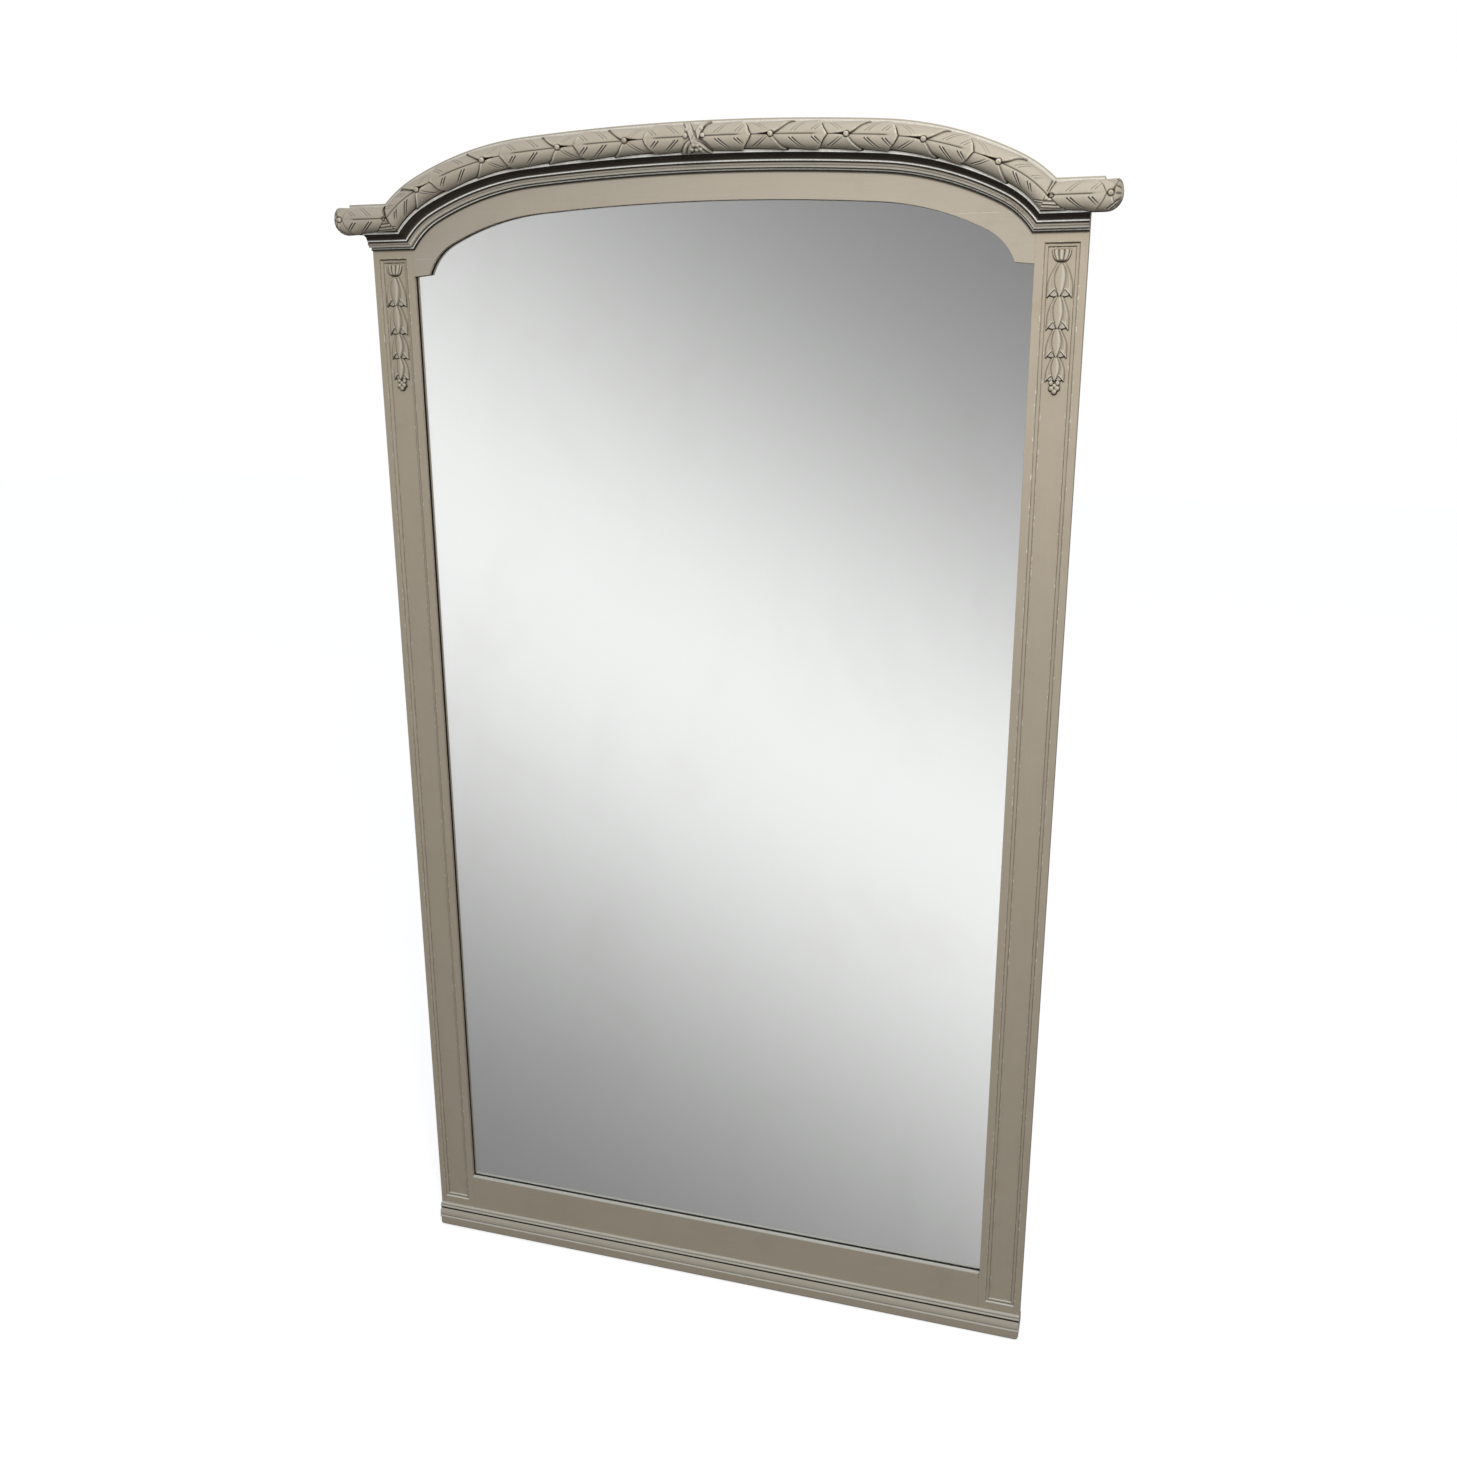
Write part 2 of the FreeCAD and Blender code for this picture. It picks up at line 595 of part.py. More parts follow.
def back_frame():
    """Stiles and rails of the back with their tenons, grooves and peg holes."""
    grooves = [groove_box(levels, GROOVE_PLAY) for levels in panel_levels()]
    pieces = {}
    for side, sign in SIDES:
        x = sorted((sign * BACK_STILE_X[0], sign * BACK_STILE_X[1]))
        stile = box(x, (0, BACK), (PLINTH_HEIGHT, BACK_STILE_TOP))
        mortises = [tenon(sign, levels, 0.3) for levels in BACK_RAILS.values()]
        pieces["back_" + side + "_stile"] = cut_all(stile, grooves + mortises)
    for name, levels in BACK_RAILS.items():
        rail = box((-BACK_STILE_X[0], BACK_STILE_X[0]), (0, BACK), levels)
        rail = cut_all(rail, grooves)
        pieces["back_" + name + "_rail"] = fused([rail] + [tenon(sign, levels) for sign in (-1, 1)])
    holes = pegs(PEG_R + GLUE_GAP)
    return {name: cut_all(piece, holes) for name, piece in pieces.items()}


def back_screw_places():
    """Screws through the back's stiles and rails into the front frame, from behind."""
    places = [(sign * BACK_SCREW_X, z) for z in BACK_SCREW_LEVELS for sign in (-1, 1)]
    return places + list(BACK_SCREWS_LOW + BACK_SCREWS_HIGH)


def countersunk(x, z, y_head, length, play):
    """Wood screw driven towards the front: flat head flush at y_head, or its hole when it has play."""
    cone = Part.makeCone(SCREW_HEAD_R + play, SCREW_R + play, SCREW_HEAD_R - SCREW_R,
                         V(x, y_head, z), V(0, -1, 0))
    shank = rod(SCREW_R + play, (x, y_head - 1.0, z), (0, -1, 0), length - 1.0 + 4 * play)
    return cone.fuse(shank)


def slotted(screw, x, y, z):
    """Cut a driver slot across the head of a screw driven from behind."""
    half = SLOT_WIDTH / 2
    return screw.cut(box((x - 6, x + 6), (y - 1.0, y + 3.0), (z - half, z + half)))


def back_screws(play):
    """The back's screws, or their holes when they have play."""
    y_head = BACK - BACK_SCREW_SINK
    screws = []
    for x, z in back_screw_places():
        screw = countersunk(x, z, y_head, SCREW_LENGTH, play)
        screws.append(screw if play else slotted(screw, x, y_head, z))
    return screws


def base_screws(play):
    """Screws up through the plinth, or their holes when they have play."""
    screws = []
    for x in BASE_SCREWS_X:
        cone = Part.makeCone(SCREW_HEAD_R + play, SCREW_R + play, SCREW_HEAD_R - SCREW_R,
                             V(x, FACE_Y / 2, BASE_SCREW_SINK), V(0, 0, 1))
        shank = rod(SCREW_R + play, (x, FACE_Y / 2, 1.5), (0, 0, 1), SCREW_LENGTH - 1.5 + 4 * play)
        screws.append(cone.fuse(shank))
    return screws


def below_heads():
    """Shallow sinkings that let the plinth screws lie under its face."""
    return [rod(SCREW_HEAD_R + GLUE_GAP, (x, FACE_Y / 2, 0.0), (0, 0, 1), BASE_SCREW_SINK + GLUE_GAP)
            for x in BASE_SCREWS_X]


# ---- hangers ----

def hanger_plate(sign):
    """Steel strap rolled round the ring's bar at its upper end."""
    x = sign * HANGER_X
    width, thick, length = STRAP
    outer = WIRE_R + KNUCKLE_PLAY + thick
    knuckle = rod(outer, (x - width / 2, PIVOT_Y, HANGER_PIVOT_Z), (1, 0, 0), width)
    strap = box((x - width / 2, x + width / 2), (BACK, BACK + thick),
                (HANGER_PIVOT_Z - length, HANGER_PIVOT_Z))
    eye = rod(WIRE_R + KNUCKLE_PLAY, (x - width, PIVOT_Y, HANGER_PIVOT_Z), (1, 0, 0), 2 * width)
    holes = [rod(SCREW_R + 0.2, (x, BACK - 1, HANGER_PIVOT_Z + drop), (0, 1, 0), 6.0)
             for drop in STRAP_SCREWS]
    return cut_all(fused([strap, knuckle]), [eye] + holes)


def hanger_ring(sign):
    """Wire ring: straight bar in the knuckle, two legs and a round bottom, hanging at rest."""
    x = sign * HANGER_X
    half = RING_HALF_BAR + RING_CORNER_R
    corner = RING_CORNER_R * (1 - math.sqrt(0.5))
    leg_foot = -RING_CORNER_R - RING_LEG

    def point(across, up):
        return V(x + across, PIVOT_Y, HANGER_PIVOT_Z + up)

    edges = [Part.LineSegment(point(-RING_HALF_BAR, 0), point(RING_HALF_BAR, 0)).toShape()]
    for side in (1, -1):
        edges.append(Part.Arc(point(side * RING_HALF_BAR, 0), point(side * (half - corner), -corner),
                              point(side * half, -RING_CORNER_R)).toShape())
        edges.append(Part.LineSegment(point(side * half, -RING_CORNER_R),
                                      point(side * half, leg_foot)).toShape())
    edges.append(Part.Arc(point(half, leg_foot), point(0, leg_foot - half),
                          point(-half, leg_foot)).toShape())
    return bent_wire(Part.Wire(Part.__sortEdges__(edges)))


def bent_wire(path):
    """Carry the wire's round section along a path of lines and arcs, edge by edge."""
    pieces = []
    for edge in path.Edges:
        start = edge.valueAt(edge.FirstParameter)
        tangent = edge.tangentAt(edge.FirstParameter)
        disc = Part.Face(Part.Wire([Part.Circle(start, tangent, WIRE_R).toShape()]))
        if edge.Curve.TypeId == "Part::GeomLine":
            end = edge.valueAt(edge.LastParameter)
            pieces.append(disc.extrude(end - start))
        else:
            turn = math.degrees(edge.Length / edge.Curve.Radius)
            centre = edge.Curve.Center
            axis = (start - centre).cross(tangent)
            pieces.append(disc.revolve(centre, axis, turn))
    return fused(pieces)


def strap_screws(play):
    """Round-headed screws of the hanger straps, or their holes when they have play."""
    strap_face = BACK + STRAP[1]
    screws = []
    for sign in (-1, 1):
        for drop in STRAP_SCREWS:
            x, z = sign * HANGER_X, HANGER_PIVOT_Z + drop
            screw = rod(SCREW_R + play, (x, strap_face, z), (0, -1, 0), STRAP_SCREW_LENGTH)
            if not play:
                dome = Part.makeSphere(DOME_R, V(x, strap_face - DOME_SINK, z))
                head = dome.common(box((x - 6, x + 6), (strap_face, strap_face + 4), (z - 6, z + 6)))
                screw = slotted(screw.fuse(head), x, strap_face + 2.3, z)
            screws.append(screw)
    return screws


def wall_pads():
    """Cork pads that stand a little further back than the hangers."""
    return [rod(WALL_PAD_R, (sign * x, BACK, z), (0, 1, 0), WALL_PAD)
            for x, z in WALL_PADS for sign in (-1, 1)]


# ---- assembly ----

def make_front(recess):
    boards = front_boards(recess)
    holes = dowels(DOWEL_R + GLUE_GAP, DOWEL_HALF + 1.0) + back_screws(GLUE_GAP) + base_screws(GLUE_GAP)
    for name, board in boards.items():
        save(name, cut_all(board, holes))
    save("frame_dowels", group(dowels(DOWEL_R, DOWEL_HALF)))
    save("base_moulding", base_moulding())
    save("base_plinth", cut_all(base_plinth(), base_screws(GLUE_GAP) + below_heads()))
    save("base_screws", group(base_screws(0.0)))


def make_crest():
    save("arch_cornice", swept_arch(cornice_section()))
    save("arch_crest_board", swept_arch(crest_section()))
    arch = swept_arch(half_round(GARLAND_R))
    halves = {side: arch.common(box(sorted((KNOT_X, sign * 700.0)), (-200, 0), (1500, 1900)))
              for side, sign in SIDES}
    shoulders = {}
    for side, sign in SIDES:
        save(side + "_shoulder_cornice", shoulder_run(cornice_section(), sign, HALF_WIDTH))
        save(side + "_shoulder_crest_board", shoulder_run(crest_section(), sign, CREST_END_X))
        save(side + "_arch_garland", halves[side])
        shoulders[side] = garland_shoulder(sign)
        save(side + "_shoulder_garland", shoulders[side])
        save(side + "_husk_drop", husk_drop(sign))
    save("garland_berries", group(berries(arch.fuse(shoulders["left"]).fuse(shoulders["right"]))))
    save("crossed_ribbon", ribbon(arch))
    save("ribbon_berries", group(ribbon_berries(arch)))


def make_glass():
    save("mirror_glass", glass_outline(GLASS_LAP, GLASS_Y, GLASS_BACK_Y))
    save("silvering", glass_outline(GLASS_LAP - 0.5, GLASS_BACK_Y, GLASS_BACK_Y + SILVER))
    save("glass_blocks", glass_blocks())
    save("setting_pads", setting_pads())


def make_back():
    screw_holes = back_screws(GLUE_GAP) + strap_screws(GLUE_GAP)
    for name, piece in back_frame().items():
        save(name, cut_all(piece, screw_holes))
    for name, levels in zip(("bottom", "middle", "top"), panel_levels()):
        save("back_" + name + "_panel", back_panel(levels))
    save("back_pegs", group(pegs(PEG_R)))
    save("back_screws", group(back_screws(0.0)))
    for side, sign in SIDES:
        save(side + "_hanger_plate", hanger_plate(sign))
        save(side + "_hanger_ring", hanger_ring(sign))
    save("hanger_screws", group(strap_screws(0.0)))
    save("wall_pads", group(wall_pads()))


def main():
    os.makedirs("parts", exist_ok=True)
    recess = glass_outline(RABBET_LAP, GLASS_Y, 1.0)
    make_front(recess)
    make_crest()
    make_glass()
    make_back()


main()
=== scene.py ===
"""Trumeau mirror: painted frame, arched laurel crest, husk drops, silvered plate and panelled back."""

import functools
import logging
import math
import random
from dataclasses import dataclass, field
from enum import Enum
from typing import Callable, Optional, Union

import bmesh
import bpy
import numpy as np
from mathutils import Matrix, Vector


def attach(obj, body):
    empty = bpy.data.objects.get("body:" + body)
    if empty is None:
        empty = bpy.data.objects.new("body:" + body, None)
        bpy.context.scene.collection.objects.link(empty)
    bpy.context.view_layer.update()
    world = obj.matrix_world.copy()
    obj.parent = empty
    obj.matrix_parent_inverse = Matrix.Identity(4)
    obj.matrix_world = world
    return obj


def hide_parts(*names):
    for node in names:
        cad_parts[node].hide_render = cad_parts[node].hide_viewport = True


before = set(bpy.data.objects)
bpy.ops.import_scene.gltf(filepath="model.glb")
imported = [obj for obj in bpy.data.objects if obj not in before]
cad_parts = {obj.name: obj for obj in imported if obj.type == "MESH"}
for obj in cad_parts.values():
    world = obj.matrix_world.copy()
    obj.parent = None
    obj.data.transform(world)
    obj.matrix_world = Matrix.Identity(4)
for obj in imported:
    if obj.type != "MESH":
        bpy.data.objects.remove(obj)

log = logging.getLogger("trumeau_mirror")
MM = 0.001
SMOOTH = 180.0
SHIFT_SHARES = (1.0, 1.7, 2.3)
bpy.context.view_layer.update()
Colour = tuple[float, float, float, float]
Triple = tuple[float, float, float]
WHITE = (1.0, 1.0, 1.0, 1.0)


class Side(Enum):
    """A side of the mirror as seen from the front, with the sign of its X."""

    LEFT = -1
    RIGHT = 1

    def part(self, name: str) -> str:
        """Name of this side's piece of a pair."""
        return "%s_%s" % (self.name.lower(), name)


# ---------------------------------------------------------------- shader kit

def operator(operation: str, reflected: bool = False) -> Callable[["Wire", "Operand"], "Wire"]:
    """Make an arithmetic method, which adds one Math node.

    Args:
        operation: the node's operation.
        reflected: whether the wire stands on the right of the sign.

    Returns:
        The method.
    """
    def method(self: "Wire", other: "Operand") -> "Wire":
        """The node's result."""
        return self.maths(operation, *((other, self) if reflected else (self, other)))
    return method


class Wire:
    """A number carried by one socket of a node sheet; arithmetic on it adds Math nodes."""

    def __init__(self, sheet: "NodeSheet", socket: bpy.types.NodeSocket) -> None:
        """Keep the sheet that holds the node, and the output that carries the value."""
        self.sheet = sheet
        self.socket = socket

    def maths(self, operation: str, *values: "Operand") -> "Wire":
        """Add one Math node on one to three values."""
        return self.sheet.node("ShaderNodeMath", {"operation": operation}, dict(enumerate(values)))

    __add__, __radd__ = operator("ADD"), operator("ADD", True)
    __sub__, __rsub__ = operator("SUBTRACT"), operator("SUBTRACT", True)
    __mul__, __rmul__ = operator("MULTIPLY"), operator("MULTIPLY", True)
    __pow__, __rpow__ = operator("POWER"), operator("POWER", True)
    __truediv__ = operator("DIVIDE")
    least, most = operator("MINIMUM"), operator("MAXIMUM")

    def size(self) -> "Wire":
        """Value without its sign."""
        return self.maths("ABSOLUTE", self)


Operand = Union[Wire, float, tuple]


class NodeSheet:
    """The node tree of one material or world."""

    def __init__(self, owner: Union[bpy.types.Material, bpy.types.World]) -> None:
        """Clear the owner's tree.

        Args:
            owner: the material or the world.
        """
        self.owner = owner
        owner.use_nodes = True
        self.tree = owner.node_tree
        self.tree.nodes.clear()

    def node(self, kind: str, settings: Optional[dict] = None, inputs: Optional[dict] = None,
             output: Union[int, str] = 0) -> Wire:
        """Add any node.

        Args:
            kind: the node's type.
            settings: its properties, set first; "stops" fills a colour ramp.
            inputs: a value or a wire for each named or numbered socket.
            output: the socket to hand back.

        Returns:
            The chosen output.
        """
        made = self.tree.nodes.new(kind)
        for name, value in (settings or {}).items():
            if name == "stops":
                self.fill_ramp(made.color_ramp, value)
            else:
                setattr(made, name, value)
        for name, value in (inputs or {}).items():
            if isinstance(value, Wire):
                self.tree.links.new(value.socket, made.inputs[name])
            else:
                made.inputs[name].default_value = value
        return Wire(self, made.outputs[output] if len(made.outputs) else None)

    @staticmethod
    def fill_ramp(ramp: bpy.types.ColorRamp, stops: list[tuple[float, Colour]]) -> None:
        """Set a ramp's stops.

        Args:
            ramp: the ramp.
            stops: position and colour of each stop.
        """
        while len(ramp.elements) < len(stops):
            ramp.elements.new(1.0)
        for element, (position, colour) in zip(ramp.elements, stops):
            element.position = position
            element.color = colour

    def place(self) -> Wire:
        """Position in the part's own frame, in metres."""
        return self.node("ShaderNodeTexCoord", output="Object")

    def parts(self, vector: Wire) -> tuple[Wire, Wire, Wire]:
        """A vector's X, Y and Z."""
        split = self.node("ShaderNodeSeparateXYZ", inputs={0: vector})
        return tuple(Wire(self, split.socket.node.outputs[axis]) for axis in range(3))

    def vector(self, x: Operand, y: Operand, z: Operand) -> Wire:
        """Vector from three values."""
        return self.node("ShaderNodeCombineXYZ", inputs={0: x, 1: y, 2: z})

    def stretched(self, vector: Wire, scale: Triple, shift: float = 0.0) -> Wire:
        """Scale a vector's axes and shift it, by a little more along Y and Z."""
        return self.node("ShaderNodeVectorMath", {"operation": "MULTIPLY_ADD"},
                         {0: vector, 1: scale, 2: tuple(shift * share for share in SHIFT_SHARES)})

    def noise(self, vector: Wire, scale: float, detail: float = 3.0, roughness: float = 0.55,
              distortion: float = 0.0) -> Wire:
        """Fractal noise around 0.5.

        Args:
            vector: where to read it.
            scale: bumps per metre.
            detail: number of octaves.
            roughness: how strong the fine octaves are.
            distortion: how far it is warped.

        Returns:
            The noise value.
        """
        return self.node("ShaderNodeTexNoise", {"noise_dimensions": "3D"},
                         {"Vector": vector, "Scale": scale, "Detail": detail,
                          "Roughness": roughness, "Distortion": distortion}, "Fac")

    def step(self, value: Wire, low: float, high: float) -> Wire:
        """Smooth step from 0 at low to 1 at high.

        Args:
            value: the value to read.
            low: where the step starts; it may be above high.
            high: where the step ends.

        Returns:
            The step.
        """
        falls = float(low > high)
        return self.node("ShaderNodeMapRange", {"interpolation_type": "SMOOTHSTEP"},
                         {0: value, 1: min(low, high), 2: max(low, high), 3: falls, 4: 1.0 - falls})

    def band(self, value: Wire, middle: float, half: float, soft: float = 0.0003) -> Wire:
        """A line of full strength around one value, half its width on either side, with soft edges."""
        return self.step((value - middle).size(), half + soft, max(half - soft, 0.0))

    def patches(self, place: Wire, scale: float, low: float, high: float, detail: float = 3.0,
                roughness: float = 0.55, stretch: Optional[Triple] = None) -> Wire:
        """Soft-edged patches cut out of a noise, none at its low value and full at its high one."""
        read = self.stretched(place, stretch) if stretch else place
        return self.step(self.noise(read, scale, detail, roughness), low, high)

    def attribute(self, name: str) -> Wire:
        """A mask that the mesh carries."""
        return self.node("ShaderNodeAttribute", {"attribute_name": name}, output="Fac")

    def blend(self, share: Operand, first: Operand, second: Operand, how: str = "MIX") -> Wire:
        """Mix a share of the second colour into the first, in the Mix node's own way."""
        return self.node("ShaderNodeMix", {"data_type": "RGBA", "blend_type": how, "clamp_factor": True},
                         {0: share, 6: first, 7: second}, 2)

    def bump(self, height: Wire, distance: float, strength: float = 1.0,
             normal: Optional[Wire] = None) -> Wire:
        """Turn a height into a normal.

        Args:
            height: height between 0 and 1.
            distance: metres that a height of 1 stands for.
            strength: the node's strength.
            normal: a normal to start from.

        Returns:
            The bumped normal.
        """
        inputs = {"Strength": strength, "Distance": distance, "Height": height}
        if normal is not None:
            inputs["Normal"] = normal
        return self.node("ShaderNodeBump", inputs=inputs)

    def finish(self, shader: Wire) -> None:
        """Send a shader to the material's output."""
        self.node("ShaderNodeOutputMaterial", inputs={0: shader})

    def principled(self, base: Wire, rough: Wire, **others: Operand) -> bpy.types.Material:
        """Finish with one principled shader.

        Args:
            base: its colour.
            rough: its roughness.
            others: more inputs, with underscores for the spaces in their names.

        Returns:
            The material.
        """
        inputs = {name.replace("_", " "): value for name, value in others.items()}
        self.finish(self.node("ShaderNodeBsdfPrincipled",
                              inputs={"Base Color": base, "Roughness": rough, **inputs}))
        return self.owner


def srgb(red: int, green: int, blue: int) -> Colour:
    """A colour as it is seen, each part from 0 to 255, in linear light with an alpha of 1."""
    shares = [value / 255 for value in (red, green, blue)]
    return tuple(s / 12.92 if s <= 0.04045 else ((s + 0.055) / 1.055) ** 2.4 for s in shares) + (1.0,)


# ---------------------------------------------------------------- finishes

class Grain(Enum):
    """Which way a piece's grain and brush marks run, as scale factors across X, Y and Z."""

    LEVEL = (0.03, 1.0, 1.0)
    UPRIGHT = (1.0, 1.0, 0.03)
    EVEN = (0.6, 1.0, 0.6)


@dataclass(frozen=True)
class Sinking:
    """Outline of a stile's sunk panel, its two steps' insets and their lines' half width, in metres."""

    inner: float = 0.4466
    outer: float = 0.4908
    low: float = 0.0528
    high: float = 1.6077
    first: float = 0.0007
    second: float = 0.0051
    line: float = 0.0006

    def marks(self, sheet: NodeSheet, place: Wire) -> tuple[Wire, Wire]:
        """Dirt in the steps, pale ledges at the foot, and chips beside the arrises.

        Args:
            sheet: the node sheet.
            place: the position.

        Returns:
            A mask of painted shade, and a mask of painted highlights and wear chips.
        """
        x, _, z = sheet.parts(place)
        across = x.size()
        head = self.high - z
        side = (across - self.inner).least(self.outer - across).least(head)
        foot = z - self.low
        wander = (sheet.noise(sheet.stretched(place, (1.0, 1.0, 0.35)), 130.0, 3.0, 0.6) - 0.5) * 0.0016
        inset = side.least(foot) + wander
        at_foot = sheet.step(foot - side, 0.0004, -0.0004)
        at_head = sheet.step(head - (across - self.inner).least(self.outer - across), 0.0008, -0.0008)
        broken = sheet.patches(place, 210.0, 0.36, 0.56, stretch=(1.0, 1.0, 0.3))
        outline = sheet.band(inset, self.first, self.line)
        inside = sheet.band(inset, self.second, self.line)
        between = sheet.band(inset, 0.0029, 0.0012, 0.0005)
        # Painted shade: dark lines in the steps, heavier under the arris at the head where the shadow
        # falls, and a softer band between the ledges at the foot.
        heavy = sheet.band(inset, self.first, 0.0010) * at_head * 0.85
        upright = (outline * (0.25 + 0.18 * broken)
                   + inside * (0.16 + 0.22 * broken + 0.5 * at_head * broken)).most(heavy)
        dark = (1.0 - at_foot) * upright + at_foot * between * 0.45
        chips = sheet.patches(place, 330.0, 0.56, 0.63, 3.0, 0.65, (1.0, 1.0, 0.4))
        beside = sheet.band(inset, -self.first, self.line).most(sheet.band(inset, 0.0064, 0.0005))
        beside = beside * chips * 0.8
        # Painted highlight on the upward ledges at the foot; the chips beside the arrises are wear.
        ledge_highlights = sheet.band(inset, self.first, 0.0009).most(inside * 0.85) * at_foot * 0.95
        return dark, beside.most(ledge_highlights)


UPPER_COLOUR = srgb(170, 161, 145)


@dataclass(frozen=True)
class Paint:
    """Satin grey-beige paint, brushed on, rubbed along its arrises, with painted shade in its hollows and
    painted highlights on its upward faces.
    """

    name: str
    grain: Grain = Grain.LEVEL
    carved: bool = False
    seam_level: Optional[float] = None
    joint_x: Optional[float] = None
    sinking: Optional[Sinking] = None
    dark_levels: tuple[Triple, ...] = ()
    pale_levels: tuple[Triple, ...] = ()
    rub: Optional[Triple] = None
    # Strength of the painted highlight on faces that turn upwards.
    ledge: float = 0.5
    colour: Colour = srgb(171, 160, 141)
    # deep: colour of painted shade, and of dark joint lines.
    deep: Colour = srgb(40, 33, 25)
    worn: Colour = srgb(214, 203, 180)
    # pale: colour of painted highlights, and of pale seams, wear chips and worn arrises.
    pale: Colour = srgb(219, 218, 209)
    ochre: Colour = srgb(134, 112, 82)
    # How dark the painted shade in hollows gets.
    painted_shade: float = 0.4
    wear: float = 0.7
    reach: float = 0.005
    shift: float = 0.0
    alone: bool = False

    def marks(self, sheet: NodeSheet, place: Wire) -> tuple[list[Wire], list[Wire]]:
        """Lines that follow the piece's own form.

        Args:
            sheet: the node sheet.
            place: the position.

        Returns:
            Masks of painted shade and dark joint lines, and masks of painted highlights, pale seams and
            worn arrises.
        """
        x, _, z = sheet.parts(place)
        wander = (sheet.noise(place, 60.0) - 0.5) * 0.0012
        dark, pale = [], []
        if self.seam_level is not None:
            worn = 0.25 + 0.4 * sheet.patches(place, 90.0, 0.4, 0.6, stretch=(0.4, 1.0, 1.0))
            pale.append(sheet.band(z + wander, self.seam_level * MM, 0.0006) * worn)
        if self.joint_x is not None:
            joint = sheet.band(x, self.joint_x * MM, 0.0006, 0.0002) * sheet.step(z, 0.092, 0.094)
            dark.append(joint * sheet.patches(place, 330.0, 0.4, 0.5))
        if self.sinking is not None:
            hollow, ledge = self.sinking.marks(sheet, place)
            dark.append(hollow)
            pale.append(ledge)
        # Level bands: dark ones are painted shade in grooves and quirks, pale ones are painted highlights
        # on ledges and faces that turn up, and one worn arris.
        uneven = z + (sheet.noise(sheet.stretched(place, (0.08, 1.0, 1.0)), 90.0, 3.0) - 0.5) * 0.0005
        for found, levels in ((dark, self.dark_levels), (pale, self.pale_levels)):
            for low, high, strength in levels:
                middle, half = (low + high) * MM / 2, (high - low) * MM / 2
                found.append(sheet.band(uneven, middle, half, 0.0002) * strength)
        # Carved pieces carry their own masks: painted shade in their hollows and painted highlights on
        # their crests.
        if self.carved:
            dark.append(sheet.attribute("hollow"))
            pale.append(sheet.attribute("pale") * (0.7 + 0.3 * sheet.patches(place, 260.0, 0.4, 0.6)))
        return dark, pale

    def material(self) -> bpy.types.Material:
        """Build the paint.

        Returns:
            The material.
        """
        sheet = NodeSheet(bpy.data.materials.new(self.name))
        place = sheet.place()
        brushed = sheet.stretched(place, self.grain.value, self.shift)
        strokes = sheet.noise(brushed, 620.0, 3.0, 0.6)
        cloud = sheet.noise(sheet.stretched(place, (1.0, 1.0, 1.0), self.shift), 14.0, 4.0, 0.6)
        speck = sheet.noise(place, 900.0, 2.0, 0.6)
        tone = 1.0 + (strokes - 0.5) * 0.10 + (cloud - 0.5) * 0.12 + (speck - 0.5) * 0.08
        base = sheet.blend(1.0, self.colour, sheet.vector(tone, tone, tone), "MULTIPLY")
        warm = sheet.patches(place, 22.0, 0.5, 0.78, 5.0, 0.65) * 0.12
        base = sheet.blend(warm, base, self.ochre)

        # Painted shade: hollows darken by how enclosed they are, read from ambient occlusion.
        hidden = sheet.node("ShaderNodeAmbientOcclusion", {"samples": 12, "only_local": self.alone},
                            {"Distance": self.reach}, "AO")
        hollow_shade = sheet.step(hidden, 0.62, 0.12) * self.painted_shade
        edge_normal = sheet.node("ShaderNodeBevel", {"samples": 6}, {"Radius": 0.001})
        flat_normal = sheet.node("ShaderNodeNewGeometry", output="Normal")
        turn = sheet.node("ShaderNodeVectorMath", {"operation": "DOT_PRODUCT"},
                          {0: edge_normal, 1: flat_normal}, "Value")
        chips = sheet.patches(place, 150.0, 0.50, 0.60, 4.0, 0.7)
        rubbed = sheet.step(turn, 0.99, 0.86) * sheet.step(hidden, 0.72, 0.9) * chips * self.wear
        if self.carved:
            flecks = sheet.patches(place, 200.0, 0.36, 0.62, 4.0, 0.7)
            rubbed = rubbed.most(sheet.attribute("ridge") * flecks * 0.75)
        base = sheet.blend(rubbed, base, sheet.blend(sheet.step(cloud, 0.5, 0.62), self.worn, self.ochre))
        dark, pale = self.marks(sheet, place)
        # Painted highlight: faces that turn upwards are paler, as where light falls from above; carved
        # pieces carry theirs in their masks.
        _, _, facing = sheet.parts(sheet.node("ShaderNodeNewGeometry", output="True Normal"))
        upward = sheet.step(facing, 0.45, 0.9) * (0.0 if self.carved else 1.0)
        hollow_shade = hollow_shade * (1.0 - upward)
        base = sheet.blend(hollow_shade, base, self.deep)
        if self.rub is not None:
            x, _, z = sheet.parts(place)
            spot = ((x - self.rub[0]) ** 2.0 + (z - self.rub[1]) ** 2.0) ** 0.5
            bare = sheet.step(spot, self.rub[2], self.rub[2] * 0.4)
            streaks = sheet.patches(place, 260.0, 0.42, 0.6, 4.0, 0.7, (0.5, 1.0, 1.0))
            base = sheet.blend(bare * streaks * 0.9, base, self.ochre)
        light = upward * self.ledge
        for mask in pale:
            light = light.most(mask)
        base = sheet.blend(light * 0.92, base, self.pale)
        # Painted shade in hollows, steps and grooves, together with the real dark joint lines, pulled
        # towards the deep colour.
        shade_and_marks = hollow_shade
        for mask in dark:
            shade_and_marks = shade_and_marks.most(mask)
        base = sheet.blend(shade_and_marks.least(0.97), base, self.deep)

        height = strokes * 0.5 + speck * 0.3 + cloud * 0.6
        normal = sheet.bump(height, 0.00035, 0.4, edge_normal)
        rough = 0.50 + (cloud - 0.5) * 0.25 + shade_and_marks * 0.3 + (speck - 0.5) * 0.1
        return sheet.principled(base, rough, Normal=normal, Specular_IOR_Level=0.42)


